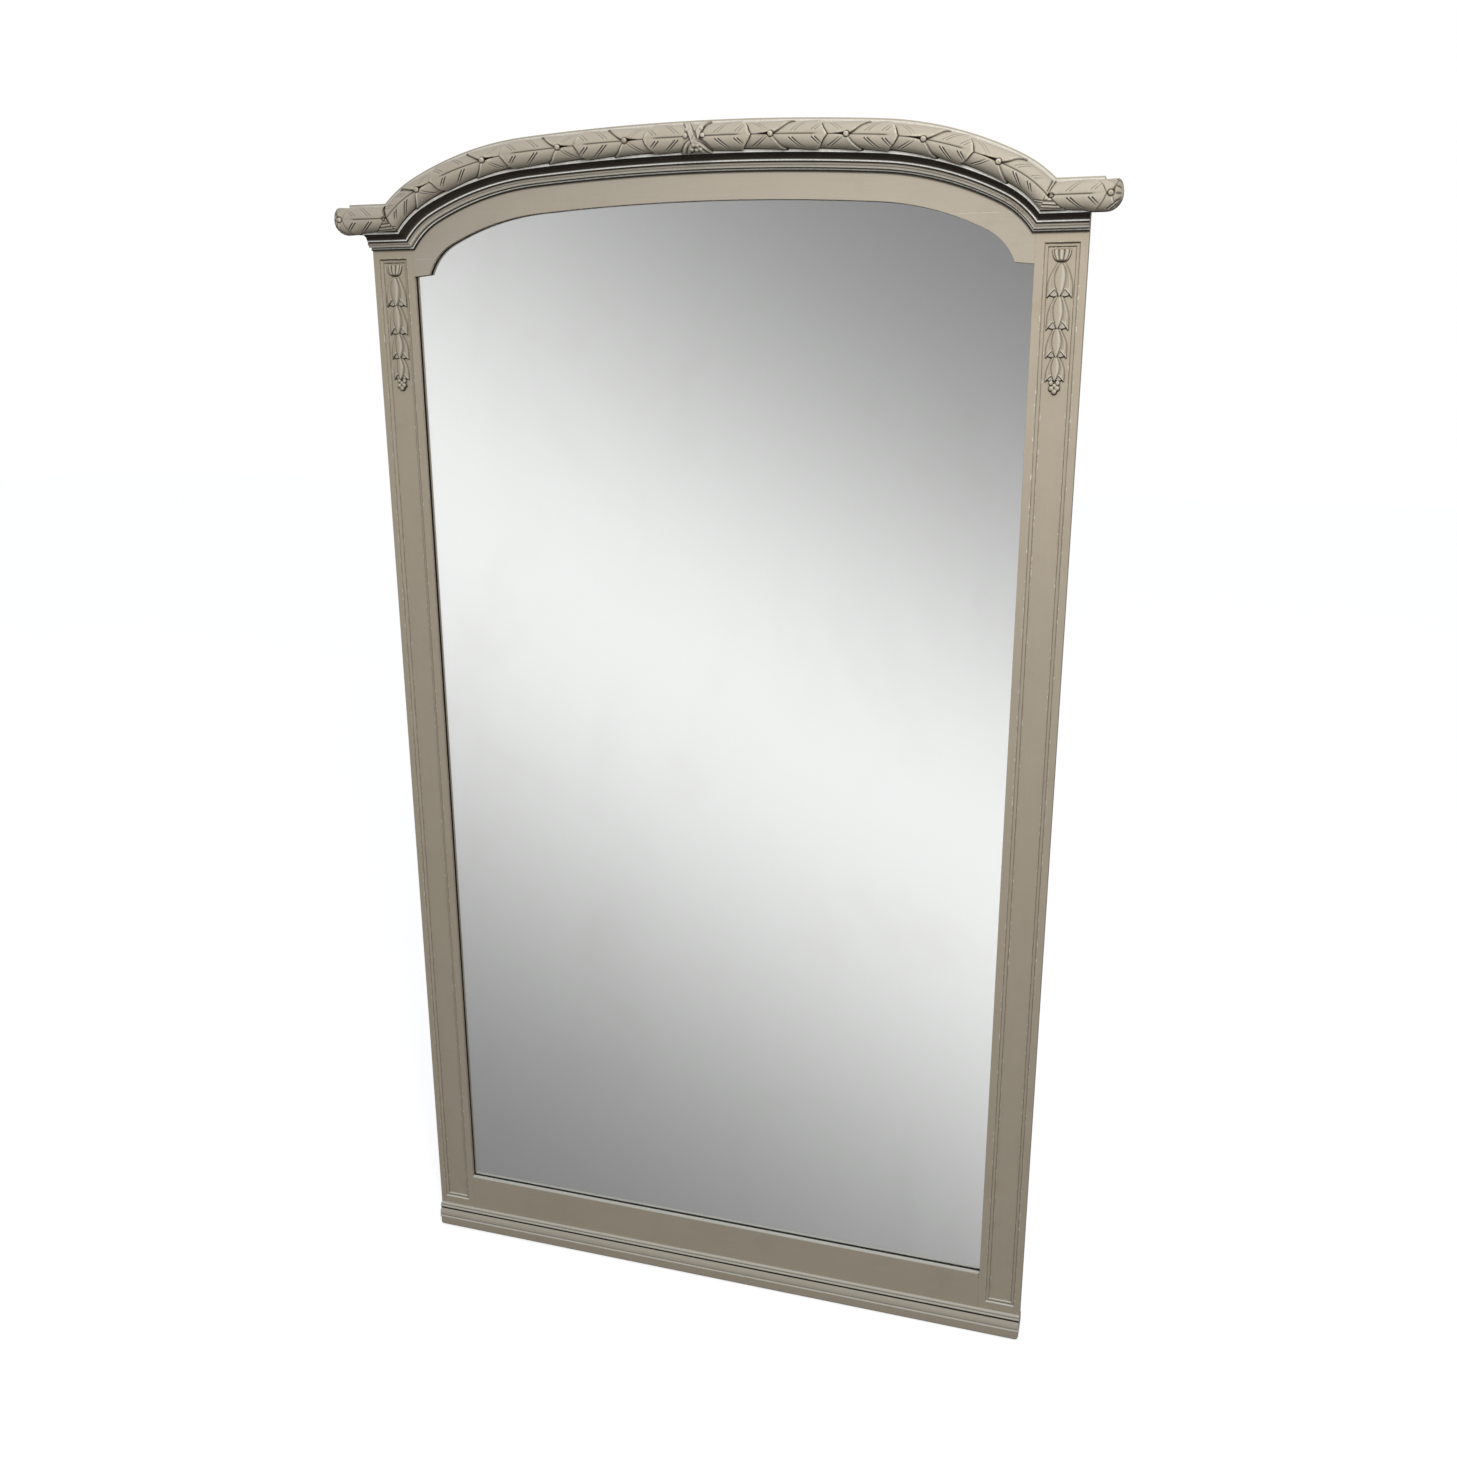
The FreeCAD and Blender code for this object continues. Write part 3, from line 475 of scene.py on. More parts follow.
@dataclass(frozen=True)
class Pine:
    """Bare softwood gone brown with age."""

    name: str
    grain: Grain = Grain.UPRIGHT
    shift: float = 0.0
    light: Colour = srgb(176, 136, 92)
    dark: Colour = srgb(118, 78, 45)
    dust: Colour = srgb(104, 90, 72)

    def material(self) -> bpy.types.Material:
        """Build the wood.

        Returns:
            The material.
        """
        sheet = NodeSheet(bpy.data.materials.new(self.name))
        place = sheet.stretched(sheet.place(), (1.0, 1.0, 1.0), self.shift)
        along = sheet.stretched(place, self.grain.value)
        bend = sheet.noise(along, 16.0, 3.0, 0.5)
        turns = sheet.noise(along, 38.0, 2.0, 0.4, 1.2) * 9.0 + bend * 4.0
        rings = turns.maths("PINGPONG", turns, 0.5) * 2.0
        drawn_out = tuple(factor * factor for factor in self.grain.value)
        fibre = sheet.noise(sheet.stretched(place, drawn_out), 900.0, 3.0, 0.7)
        late = sheet.step(rings, 0.45, 1.0) * 0.7 + (fibre - 0.5) * 0.5
        base = sheet.blend(late, self.light, self.dark)
        shade_and_marks = sheet.patches(place, 7.0, 0.42, 0.75, 5.0, 0.6) * 0.45
        # Painted shade: the wood darkens into its corners and joints by ambient occlusion, on top of the
        # dust patches.
        hidden = sheet.node("ShaderNodeAmbientOcclusion", {"samples": 6}, {"Distance": 0.02}, "AO")
        shade_and_marks = shade_and_marks.most(sheet.step(hidden, 0.85, 0.3) * 0.8)
        base = sheet.blend(shade_and_marks, base, self.dust)
        normal = sheet.bump(fibre * 0.6 + rings * 0.4, 0.0004, 0.6)
        return sheet.principled(base, 0.72 + (fibre - 0.5) * 0.2, Normal=normal)


@dataclass(frozen=True)
class EndGrain:
    """Bare hardwood pegs and dowels, rings round their own middle."""

    name: str = "beech_end_grain"
    light: Colour = srgb(178, 138, 98)
    dark: Colour = srgb(128, 88, 54)

    def material(self) -> bpy.types.Material:
        """Build the wood.

        Returns:
            The material.
        """
        sheet = NodeSheet(bpy.data.materials.new(self.name))
        place = sheet.place()
        flecks = sheet.noise(place, 1400.0, 3.0, 0.7)
        rings = sheet.noise(place, 420.0, 2.0, 0.5, 1.5)
        base = sheet.blend(sheet.step(rings, 0.35, 0.7) * 0.6 + flecks * 0.3, self.light, self.dark)
        return sheet.principled(base, 0.6 + flecks * 0.15, Normal=sheet.bump(flecks, 0.0002, 0.5))


@dataclass(frozen=True)
class Cork:
    """Pressed cork with dark grains."""

    name: str = "pressed_cork"
    light: Colour = srgb(190, 150, 105)
    dark: Colour = srgb(98, 66, 40)

    def material(self) -> bpy.types.Material:
        """Build the cork.

        Returns:
            The material.
        """
        sheet = NodeSheet(bpy.data.materials.new(self.name))
        place = sheet.place()
        grains = sheet.node("ShaderNodeTexVoronoi", {"feature": "F1"}, {"Vector": place, "Scale": 620.0},
                            "Distance")
        flecks = sheet.noise(place, 520.0, 4.0, 0.7)
        base = sheet.blend(sheet.step(flecks, 0.5, 0.7), self.light, self.dark)
        base = sheet.blend(sheet.step(grains, 0.25, 0.6) * 0.4, base, self.dark)
        return sheet.principled(base, 0.88 - flecks * 0.1, Normal=sheet.bump(grains, 0.0005, 0.7))


@dataclass(frozen=True)
class Steel:
    """Plain or zinc-plated steel, dulled by handling."""

    name: str
    clean: Colour = srgb(178, 177, 172)
    tarnish: Colour = srgb(104, 92, 78)
    roughness: float = 0.34
    age: float = 0.5

    def material(self) -> bpy.types.Material:
        """Build the metal.

        Returns:
            The material.
        """
        sheet = NodeSheet(bpy.data.materials.new(self.name))
        place = sheet.place()
        cloud = sheet.noise(place, 260.0, 5.0, 0.65)
        scratch = sheet.noise(sheet.stretched(place, (1.0, 1.0, 0.08)), 1500.0, 2.0, 0.5)
        old = sheet.step(cloud, 0.62 - 0.2 * self.age, 0.8) * self.age
        base = sheet.blend(old, self.clean, self.tarnish)
        rough = self.roughness + old * 0.3 + (scratch - 0.5) * 0.14
        return sheet.principled(base, rough, Metallic=1.0 - old * 0.35,
                                Normal=sheet.bump(scratch * 0.5 + cloud * 0.5, 0.0001, 0.4))


@dataclass(frozen=True)
class PlateGlass:
    """Clear plate with a faint green cast and a few wiped smears."""

    name: str = "plate_glass"
    clear: Colour = (0.985, 0.992, 0.988, 1.0)
    smeared: Colour = (0.965, 0.972, 0.968, 1.0)

    def material(self) -> bpy.types.Material:
        """Build the glass.

        Returns:
            The material.
        """
        sheet = NodeSheet(bpy.data.materials.new(self.name))
        place = sheet.stretched(sheet.place(), (1.0, 1.0, 0.5))
        smear = sheet.step(sheet.noise(place, 5.0, 5.0, 0.6, 0.6), 0.52, 0.8)
        base = sheet.blend(smear, self.clear, self.smeared)
        return sheet.principled(base, smear * 0.01, IOR=1.5, Transmission_Weight=1.0)


@dataclass(frozen=True)
class SilverCoat:
    """Silvering on the back of the plate, a little clouded by age."""

    name: str = "silvering_coat"
    bright: Colour = (0.93, 0.93, 0.925, 1.0)
    clouded: Colour = (0.88, 0.875, 0.865, 1.0)

    def material(self) -> bpy.types.Material:
        """Build the silver.

        Returns:
            The material.
        """
        sheet = NodeSheet(bpy.data.materials.new(self.name))
        place = sheet.place()
        cloud = sheet.step(sheet.noise(place, 4.0, 6.0, 0.6, 0.4), 0.5, 0.85)
        base = sheet.blend(cloud, self.bright, self.clouded)
        return sheet.principled(base, 0.012 + cloud * 0.02, Metallic=1.0)


Finish = Union[Paint, Pine, EndGrain, Cork, Steel, PlateGlass, SilverCoat]


def dress(node: str, finish: Finish) -> None:
    """Give a node carried over from CAD its finish.

    Args:
        node: the node's name.
        finish: what it is made of.
    """
    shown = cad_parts[node]
    made = finish.material()
    shown.data.materials.clear()
    shown.data.materials.append(made)
    log.info("dressed %s in %s", node, finish.name)


# ---------------------------------------------------------------- mesh helpers

def blurred(heights: np.ndarray, reach: int) -> np.ndarray:
    """Box blur along both axes.

    Args:
        heights: a grid of heights.
        reach: cells on either side.

    Returns:
        The blurred grid.
    """
    result = heights
    for axis in (0, 1):
        pad = [(0, 0), (0, 0)]
        pad[axis] = (reach, reach)
        wide = np.pad(result, pad, mode="edge")
        total = np.cumsum(wide, axis=axis)
        zero = np.zeros_like(np.take(total, [0], axis=axis))
        total = np.concatenate([zero, total], axis=axis)
        count = 2 * reach + 1
        length = heights.shape[axis]
        result = (np.take(total, range(count, count + length), axis=axis)
                  - np.take(total, range(length), axis=axis)) / count
    return result


def hollow_and_ridge(heights: np.ndarray, reach: int, full: float) -> tuple[np.ndarray, np.ndarray]:
    """How far each point lies below or above its surroundings.

    Args:
        heights: a grid of heights in mm.
        reach: cells that count as surroundings.
        full: mm that give a full mask.

    Returns:
        Masks for hollows and for ridges, 0 to 1.
    """
    around = blurred(blurred(heights, reach), reach)
    hollow = np.clip((around - heights) / full, 0.0, 1.0)
    ridge = np.clip((heights - around) / full, 0.0, 1.0)
    return hollow, ridge


def grid_faces(rows: int, columns: int, keep: Optional[np.ndarray] = None, flip: bool = False) -> list:
    """Quads of a grid whose points are numbered row by row.

    Args:
        rows: number of rows.
        columns: points in a row.
        keep: which cells to keep, or None for all.
        flip: turn the faces over.

    Returns:
        The faces.
    """
    index = np.arange(rows * columns).reshape(rows, columns)
    corners = [index[:-1, :-1], index[1:, :-1], index[1:, 1:], index[:-1, 1:]]
    if flip:
        corners.reverse()
    quads = np.stack(corners, axis=-1)
    return (quads[keep] if keep is not None else quads.reshape(-1, 4)).tolist()


def grid_points(x: np.ndarray, y: np.ndarray, z: np.ndarray) -> np.ndarray:
    """Points of a grid, one row each."""
    return np.stack(np.broadcast_arrays(x, y, z), axis=-1).reshape(-1, 3)


def highest(*masks: np.ndarray) -> np.ndarray:
    """The strongest of several masks at each point."""
    return functools.reduce(np.maximum, masks)


def stand(name: str, data: bpy.types.ID) -> bpy.types.Object:
    """Put a new object into the scene, at the origin.

    Args:
        name: the object's name.
        data: its mesh, camera or lamp.

    Returns:
        The object.
    """
    made = bpy.data.objects.new(name, data)
    bpy.context.scene.collection.objects.link(made)
    return made


def make_piece(name: str, node: str, points: np.ndarray, faces: list, finish: Finish,
               masks: dict[str, np.ndarray],
               crease: float = SMOOTH) -> bpy.types.Object:
    """Make a mesh piece in place of a node.

    Args:
        name: the piece's name.
        node: the CAD node that it stands for.
        points: its points in mm, one row each.
        faces: its faces.
        finish: what it is made of.
        masks: named values for each point.
        crease: angle in degrees past which an edge stays sharp.

    Returns:
        The object.
    """
    mesh = bpy.data.meshes.new(name)
    mesh.from_pydata((points * MM).tolist(), [], faces)
    for title, values in masks.items():
        layer = mesh.attributes.new(title, "FLOAT", "POINT")
        layer.data.foreach_set("value", np.ascontiguousarray(values, dtype=np.float32).ravel())
    mesh.polygons.foreach_set("use_smooth", [True] * len(mesh.polygons))
    mesh.materials.append(finish.material())
    made = stand(name, mesh)
    clean = bmesh.new()
    clean.from_mesh(mesh)
    loose = [vert for vert in clean.verts if not vert.link_faces]
    bmesh.ops.delete(clean, geom=loose, context="VERTS")
    clean.to_mesh(mesh)
    clean.free()
    if crease < SMOOTH:
        mesh.set_sharp_from_angle(angle=math.radians(crease))
    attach(made, "frame")
    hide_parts(node)
    log.info("made %s, %d faces", name, len(mesh.polygons))
    return made


# ---------------------------------------------------------------- the arch line

@dataclass(frozen=True)
class ArchLine:
    """The basket-handle curve of the crest and its offsets, in mm."""

    apex: float = 1705.0
    radii: tuple[float, ...] = (3290.0, 412.0, 109.0)
    turns: tuple[float, ...] = (0.0, 4.16, 26.0, 110.0)
    reference: float = 39.25
    shoulder: float = 1619.6
    crest_top: float = 60.0
    face_y: float = -22.0
    crest_y: float = -49.0
    mitre_from: float = 380.0
    mitre_to: float = 560.0
    halvings: int = 40

    def centres(self) -> list[tuple[float, float]]:
        """Centre of each arc.

        Returns:
            X and Z of the centres.
        """
        found = [(0.0, self.apex - self.radii[0])]
        for number in range(1, len(self.radii)):
            turn = math.radians(self.turns[number])
            step = self.radii[number - 1] - self.radii[number]
            x, z = found[-1]
            found.append((x + step * math.sin(turn), z + step * math.cos(turn)))
        return found

    def turn_at(self, distance: np.ndarray) -> np.ndarray:
        """Turn from the vertical at a distance along the arch, negative to the left.

        Args:
            distance: mm along the reference offset.

        Returns:
            The turn in radians.
        """
        limits = np.radians(self.turns)
        lengths = [(limits[n + 1] - limits[n]) * (self.radii[n] + self.reference)
                   for n in range(len(self.radii))]
        marks = np.concatenate([[0.0], np.cumsum(lengths)])
        return np.sign(distance) * np.interp(np.abs(distance), marks, limits)

    def point(self, turn: np.ndarray, offset: np.ndarray) -> tuple[np.ndarray, np.ndarray]:
        """Point on the arch at a turn and an offset.

        Args:
            turn: radians from the vertical.
            offset: mm outside the cornice foot.

        Returns:
            X and Z.
        """
        size = np.abs(turn)
        x, z = np.zeros_like(size), np.zeros_like(size)
        for number, (cx, cz) in enumerate(self.centres()):
            low = math.radians(self.turns[number]) if number else -1.0
            high = math.radians(self.turns[number + 1])
            inside = (size > low) & (size <= high)
            radius = self.radii[number] + offset
            x = np.where(inside, cx + radius * np.sin(size), x)
            z = np.where(inside, cz + radius * np.cos(size), z)
        return np.sign(turn + (turn == 0)) * x, z

    def mitre_x(self, height: np.ndarray) -> np.ndarray:
        """The mitre with a shoulder.

        Args:
            height: mm above the shoulder's cornice foot.

        Returns:
            X of the mitre at each height.
        """
        cx, cz = self.centres()[-1]
        crossing = []
        for offset in (0.0, self.crest_top):
            radius = self.radii[-1] + offset
            turn = math.acos((self.shoulder + offset - cz) / radius)
            crossing.append(cx + radius * math.sin(turn))
        return crossing[0] + (crossing[1] - crossing[0]) * height / self.crest_top

    def mitre_distance(self, offset: np.ndarray) -> np.ndarray:
        """Where each offset line of the arch meets the mitre.

        Args:
            offset: mm outside the cornice foot.

        Returns:
            Distance along the reference offset.
        """
        low, high = np.full_like(offset, self.mitre_from), np.full_like(offset, self.mitre_to)
        for _ in range(self.halvings):
            middle = (low + high) / 2
            x, z = self.point(self.turn_at(middle), offset)
            past = x > self.mitre_x(z - self.shoulder)
            high = np.where(past, middle, high)
            low = np.where(past, low, middle)
        return (low + high) / 2


ARCH = ArchLine()


# ---------------------------------------------------------------- crest mouldings

@dataclass(frozen=True)
class Corner:
    """One corner of a moulding's section, in mm, and how much painted shade and painted highlight the
    paint carries there.
    """

    forward: float
    offset: float
    shade_share: float = 0.0
    pale: float = 0.0
    curved: Optional[tuple[float, float]] = None


@dataclass
class Moulding:
    """A section carried round the arch, or level along a shoulder."""

    name: str
    section: tuple[Corner, ...]
    end_x: float
    rub: Optional[Triple] = None
    step: float = 4.0
    last_steps: int = 30
    crease: float = 35.0
    # Colour of the painted highlights on fillet fronts and arrises.
    edge_colour: Colour = srgb(238, 239, 234)

    @staticmethod
    def arc(start: Corner, middle: tuple[float, float], end: Corner, count: int = 14) -> np.ndarray:
        """Points on the circle through three points.

        Args:
            start: where the arc starts.
            middle: a point that it passes.
            end: where it ends.
            count: number of points after the start.

        Returns:
            Rows of forward, offset, painted shade and painted highlight.
        """
        a, b, c = (complex(*spot) for spot in (
            (start.forward, start.offset), middle, (end.forward, end.offset)))
        w = (c - a) / (b - a)
        centre = (a - b) * (w - abs(w) ** 2) / (2j * w.imag) + a
        first, last = np.angle(a - centre), np.angle(c - centre)
        last = first + (last - first + math.pi) % (2 * math.pi) - math.pi
        share = np.linspace(0.0, 1.0, count + 1)[1:]
        spots = centre + abs(a - centre) * np.exp(1j * (first + share * (last - first)))
        blend = [low + share * (high - low)
                 for low, high in ((start.shade_share, end.shade_share), (start.pale, end.pale))]
        return np.stack([spots.real, spots.imag] + blend, axis=-1)

    def outline(self) -> np.ndarray:
        """The closed section as rows of forward, offset, painted shade and painted highlight.

        Returns:
            The rows; the last one repeats the first.
        """
        rows = []
        corners = self.section + (self.section[0],)
        for before, corner in zip((None,) + corners, corners):
            if corner.curved is not None and before is not None:
                rows.append(self.arc(before, corner.curved, corner))
            else:
                rows.append(np.array([[corner.forward, corner.offset, corner.shade_share, corner.pale]]))
        return np.concatenate(rows)

    def piece(self, node: str, x: np.ndarray, z: np.ndarray, rows: np.ndarray,
              flip: bool) -> bpy.types.Object:
        """Skin a swept section and close its ends.

        Args:
            node: the CAD node that it stands for.
            x: X of each point, a row per station.
            z: Z of each point.
            rows: the section.
            flip: turn the faces over.

        Returns:
            The piece.
        """
        count = len(rows)
        faces = grid_faces(*x.shape, flip=flip)
        first, last = list(range(count - 1)), [(len(x) - 1) * count + n for n in range(count - 1)]
        faces += [first[::-1] if flip else first, last if flip else last[::-1]]
        forward, _, hollow, pale = (np.repeat(column[None, :], len(x), 0) for column in rows.T)
        masks = {"hollow": hollow, "pale": pale, "ridge": 0.0 * pale}
        finish = Paint(node + "_run_paint", Grain.EVEN, carved=True, painted_shade=0.15, reach=0.003, rub=self.rub,
                       colour=UPPER_COLOUR, pale=self.edge_colour)
        return make_piece(node + "_run", node, grid_points(x, ARCH.face_y - forward, z), faces, finish,
                          masks, self.crease)

    def build(self) -> None:
        """Sweep the arch's length and both shoulders' lengths."""
        rows = self.outline()
        offset = rows[:, 1]
        ends = ARCH.mitre_distance(offset)
        plain = np.arange(0.0, ARCH.mitre_from, self.step)[:, None] + 0.0 * offset[None, :]
        share = np.linspace(0.0, 1.0, self.last_steps)[:, None]
        last = ARCH.mitre_from + share * (ends - ARCH.mitre_from)[None, :]
        half = np.concatenate([plain, last])
        along = np.concatenate([-half[:0:-1], half])
        x, z = ARCH.point(ARCH.turn_at(along), np.repeat(offset[None, :], len(along), 0))
        self.piece("arch_" + self.name, x, z, rows, False)
        starts = ARCH.mitre_x(offset)
        for side in Side:
            x = side.value * np.stack([starts, np.full_like(starts, self.end_x)])
            z = np.repeat(ARCH.shoulder + offset[None, :], 2, 0)
            self.piece(side.part("shoulder_" + self.name), x, z, rows, side is Side.LEFT)


# Corners as forward, offset, painted shade under ledges, in quirks, in the cove and on the board behind
# the garland, painted highlight on fillet fronts, beads and arrises, and a point that a curve passes.
CORNICE = tuple(Corner(*row) for row in (
    (0.0, 0.0, 1.0), (3.4, 0.0, 1.0), (3.5, 1.6, 1.0), (3.5, 1.7, 0.0, 1.0), (3.5, 3.1, 0.0, 1.0),
    (3.4, 3.2, 0.5), (2.6, 3.8, 0.7), (5.0, 3.9, 0.7), (5.5, 4.2, 0.2),
    (10.0, 6.0, 0.0, 0.22, (7.9, 4.8)), (12.0, 9.6, 0.0, 0.12, (11.3, 7.6)), (12.0, 9.8, 1.0),
    (11.2, 10.8, 1.0), (12.8, 11.1, 1.0), (13.0, 11.3, 0.0, 1.0), (13.0, 12.85, 0.0, 1.0),
    (13.1, 13.0, 0.6), (14.0, 14.1, 0.95), (17.8, 17.5, 1.0, 0.0, (15.7, 15.9)),
    (24.0, 19.7, 1.0, 0.0, (20.8, 18.9)), (26.8, 19.8, 1.0), (27.0, 20.0, 0.0, 0.8),
    (27.0, 21.5, 0.0, 0.8), (0.0, 21.5, 1.0)))
CREST_BOARD = tuple(Corner(*row) for row in (
    (0.0, 21.5, 1.0), (27.0, 21.5, 0.0, 0.8), (27.0, 22.8, 0.0, 0.6), (27.0, 23.4, 0.6),
    (27.0, 50.0, 0.5), (27.0, 54.0, 0.1), (27.0, 56.9, 0.0, 0.45), (27.0, 57.9, 0.0, 0.45),
    (27.0, 58.2, 0.12), (27.0, 59.6, 0.1), (26.8, 60.0, 0.0, 0.25), (0.0, 60.0)))


# ---------------------------------------------------------------- carved garland

@dataclass(frozen=True)
class Leaf:
    """One leaf and the pair of side leaves past its tip, as stations in mm."""

    base: float
    tip: float
    berry: float


class Carver:
    """Cuts leaves, veins and drillings into a half-round, as depths below its surface, in mm, and paints
    shade into the cuts and highlights onto the rims.
    """

    leaf_lap: float = 2.5
    side_lap: float = 3.0
    drill_depth: float = 4.5
    seat_radius: float = 3.9
    seat_depth: float = 1.4
    stroke_gap: float = 2.1
    ridge: float = 0.3
    long_leaf: float = 55.0

    def __init__(self, along: np.ndarray, girth: np.ndarray, half_girth: float, seed: int) -> None:
        """Start with an uncut surface.

        Args:
            along: station of each point, mm.
            girth: distance of each point round the half-round from its front line, up is positive.
            half_girth: the largest girth.
            seed: seed of the carver's small irregularities.
        """
        self.along = along
        self.girth = girth
        self.share = np.abs(girth) / half_girth
        self.half_girth = half_girth
        self.depth = np.zeros_like(along)
        self.shade_and_marks = np.zeros_like(along)
        self.glow = np.zeros_like(along)
        self.chance = random.Random(seed)

    def line(self, start: tuple[float, float], stop: tuple[float, float], width: float, depth: float,
             shade_and_marks: float = 0.7, glow: float = 0.0) -> None:
        """Cut one tapering stroke.

        Args:
            start: station and girth where it is deepest.
            stop: station and girth where it runs out.
            width: mm across.
            depth: mm deep.
            shade_and_marks: how dark it is.
            glow: how much painted highlight it leaves, for a ridge.
        """
        (s0, v0), (s1, v1) = start, stop
        near = ((self.along > min(s0, s1) - 4) & (self.along < max(s0, s1) + 4)
                & (self.girth > min(v0, v1) - 4) & (self.girth < max(v0, v1) + 4))
        s, v = self.along[near], self.girth[near]
        length = math.hypot(s1 - s0, v1 - v0)
        way = ((s - s0) * (s1 - s0) + (v - v0) * (v1 - v0)) / length ** 2
        held = np.clip(way, 0.0, 1.0)
        apart = np.hypot(s - s0 - held * (s1 - s0), v - v0 - held * (v1 - v0))
        taper = np.sqrt(np.clip(1.0 - held ** 2, 0.0, 1.0)) * np.clip(1.0 + way * 8, 0.0, 1.0)
        cut = np.exp(-(apart / (width * 0.5)) ** 2) * taper
        self.depth[near] += depth * cut
        self.shade_and_marks[near] = highest(self.shade_and_marks[near], shade_and_marks * cut)
        self.glow[near] = highest(self.glow[near], glow * cut)

    def darken(self, mask: np.ndarray) -> None:
        """Paint shade onto the surface wherever a mask is stronger than what is there."""
        self.shade_and_marks = highest(self.shade_and_marks, mask)

    def lighten(self, mask: np.ndarray) -> None:
        """Paint a highlight onto the surface wherever a mask is stronger than what is there."""
        self.glow = highest(self.glow, mask)

    def shift(self, size: float) -> float:
        """A small irregularity, up to a size either way."""
        return self.chance.uniform(-size, size)

    def overlap(self, station: float, lean: tuple[float, float]) -> np.ndarray:
        """The edge of a pair of side leaves, from the front line down and up to the crest board.

        Args:
            station: where it meets the front line.
            lean: how far it runs outwards below and above.

        Returns:
            Its station at each point's girth.
        """
        below, above = lean
        run = np.where(self.girth < 0, below * self.share ** 0.95, above * self.share ** 0.6)
        return station + run + 0.4 * np.sin(self.girth * 0.33 + station)

    def leaf(self, leaf: Leaf, lean: tuple[float, float] = (21.0, 28.0), back: float = 13.0,
             first: bool = False, relief: float = 1.0) -> None:
        """Shape one main leaf and the two side leaves beyond it.

        Args:
            leaf: its stations.
            lean: how far its ends run outwards below and above the front line.
            back: how far the tip's edges run back.
            first: whether a ribbon hides the leaf's base.
            relief: how deep the side leaves lie, as a share of the usual depth.
        """
        s, share = self.along, self.share
        wobble = 0.5 * np.sin(self.girth * 0.33 + leaf.tip)
        base = leaf.base if first else self.overlap(leaf.base, lean)
        tip = leaf.tip - back * share ** 0.9 - 3.0 * share ** 3 + wobble
        following = self.overlap(leaf.berry, lean)
        main = (s >= base) & (s < tip)
        way = np.clip((s - base) / np.maximum(tip - base, 1.0), 0.0, 1.0)
        belly = 0.35 * np.sin(np.pi * np.clip(share * 1.15, 0.0, 1.0))
        height = self.leaf_lap * (1.0 - way) ** 1.6 - belly + 0.35
        rim = np.clip(1.0 - (tip - s) / 1.3, 0.0, 1.0)
        self.depth = np.where(main, height + 0.35 * rim, self.depth)
        rib = np.exp(-(self.girth / 0.75) ** 2) * np.clip((0.84 - way) * 9.0, 0.0, 1.0) * main
        self.depth += 1.15 * rib + 0.45 * np.exp(-(self.girth / 3.0) ** 2) * main * (1.0 - 0.5 * way)
        # Painted shade in the midrib, under the tip, along the seam, in the drilling and in the gaps;
        # painted highlight on the lower rim and the top edge.
        self.darken(0.85 * rib)

        side = (s >= tip) & (s < following)
        way = np.clip((s - tip) / np.maximum(following - tip, 1.0), 0.0, 1.0)
        height = relief * self.side_lap * (1.0 - way) ** 0.85 + 0.15
        self.depth = np.where(side, height, self.depth)
        under_tip = np.exp(-((s - tip) / 1.2) ** 2) * side
        self.depth += 0.8 * under_tip
        self.darken(0.9 * under_tip)
        seam = np.exp(-(self.girth / 0.8) ** 2) * side
        self.depth += 0.9 * seam
        self.darken(0.85 * seam)
        start = leaf.tip + 0.3 * (leaf.berry - leaf.tip)
        reach = np.clip((s - start) / max(leaf.berry - 3.0 - start, 1.0), 0.0, 1.0)
        reach = reach * (s < leaf.berry + 1.0)
        drill = np.clip(1.25 - np.abs(self.girth - 0.6) / (0.35 + 1.9 * reach ** 1.6), 0.0, 1.0)
        drill = drill * (reach > 0)
        self.depth += self.drill_depth * drill
        self.darken(np.clip(drill * 2.5, 0.0, 1.0))

        upper = self.girth > 0
        apart = (s - following) * np.where(upper, 0.62, 0.85)
        fade = np.where(upper, np.clip(1.15 - self.share * 1.1, 0.25, 1.0), 0.75)
        width = np.where(upper, 0.75 + 1.1 * np.clip(0.22 - self.share, 0.0, 0.22) / 0.22, 0.6)
        cut = np.exp(-((apart - 0.2) / width) ** 2) * fade
        self.depth += np.where(upper, 1.8, 1.0) * cut
        self.darken(np.where(upper, 1.0, 0.7) * cut)
        rim = np.exp(-((apart + 1.6) / 0.8) ** 2) * ~upper
        self.depth -= 0.35 * rim
        self.lighten(0.75 * rim)
        self.lighten(0.5 * np.clip((self.share - 0.9) / 0.05, 0.0, 1.0) * upper)
        self.seat(leaf.berry)

    def foot(self) -> None:
        """Painted shade towards the lower edge, which faces down, and a darker line where the garland
        meets its board.
        """
        low = np.clip((self.share - 0.5) / 0.5, 0.0, 1.0) * (self.girth < 0)
        line = np.clip((self.share - 0.84) / 0.06, 0.0, 1.0) * (self.girth < 0)
        self.darken(0.36 * low + 0.64 * line)

    def seat(self, station: float) -> None:
        """Drill the ring that sets a berry off from its leaves.

        Args:
            station: the berry's station.
        """
        apart = np.hypot(self.along - station, self.girth)
        ring = np.exp(-((apart - self.seat_radius) / 0.85) ** 2)
        self.depth += self.seat_depth * ring
        # Painted shade in the drilled ring.
        self.darken(0.95 * ring)

    def strokes(self, start: tuple[float, float], run: float, rise: float, width: float, depth: float,
                strength: float, shorten: float = 0.0) -> None:
        """Incise two strokes side by side, painted dark inside as shade, with a painted highlight on the
        ridge between them.

        Args:
            start: station and girth where the first is deepest.
            run: how far each runs along the garland.
            rise: how far it runs round the garland for each mm along.
            width: mm across.
            depth: mm deep.
            strength: share of its depth that each keeps.
            shorten: share of the run that each next one loses.
        """
        station, girth = start
        for number, cut in enumerate((depth, -self.ridge, depth)):
            shift, cut = number * self.stroke_gap, cut * strength
            drop = run * (1.0 - shorten * number)
            self.line((station + shift, girth), (station + shift + drop, girth + rise * drop), width, cut,
                      max(cut, 0.0), max(-2.4 * cut, 0.0))

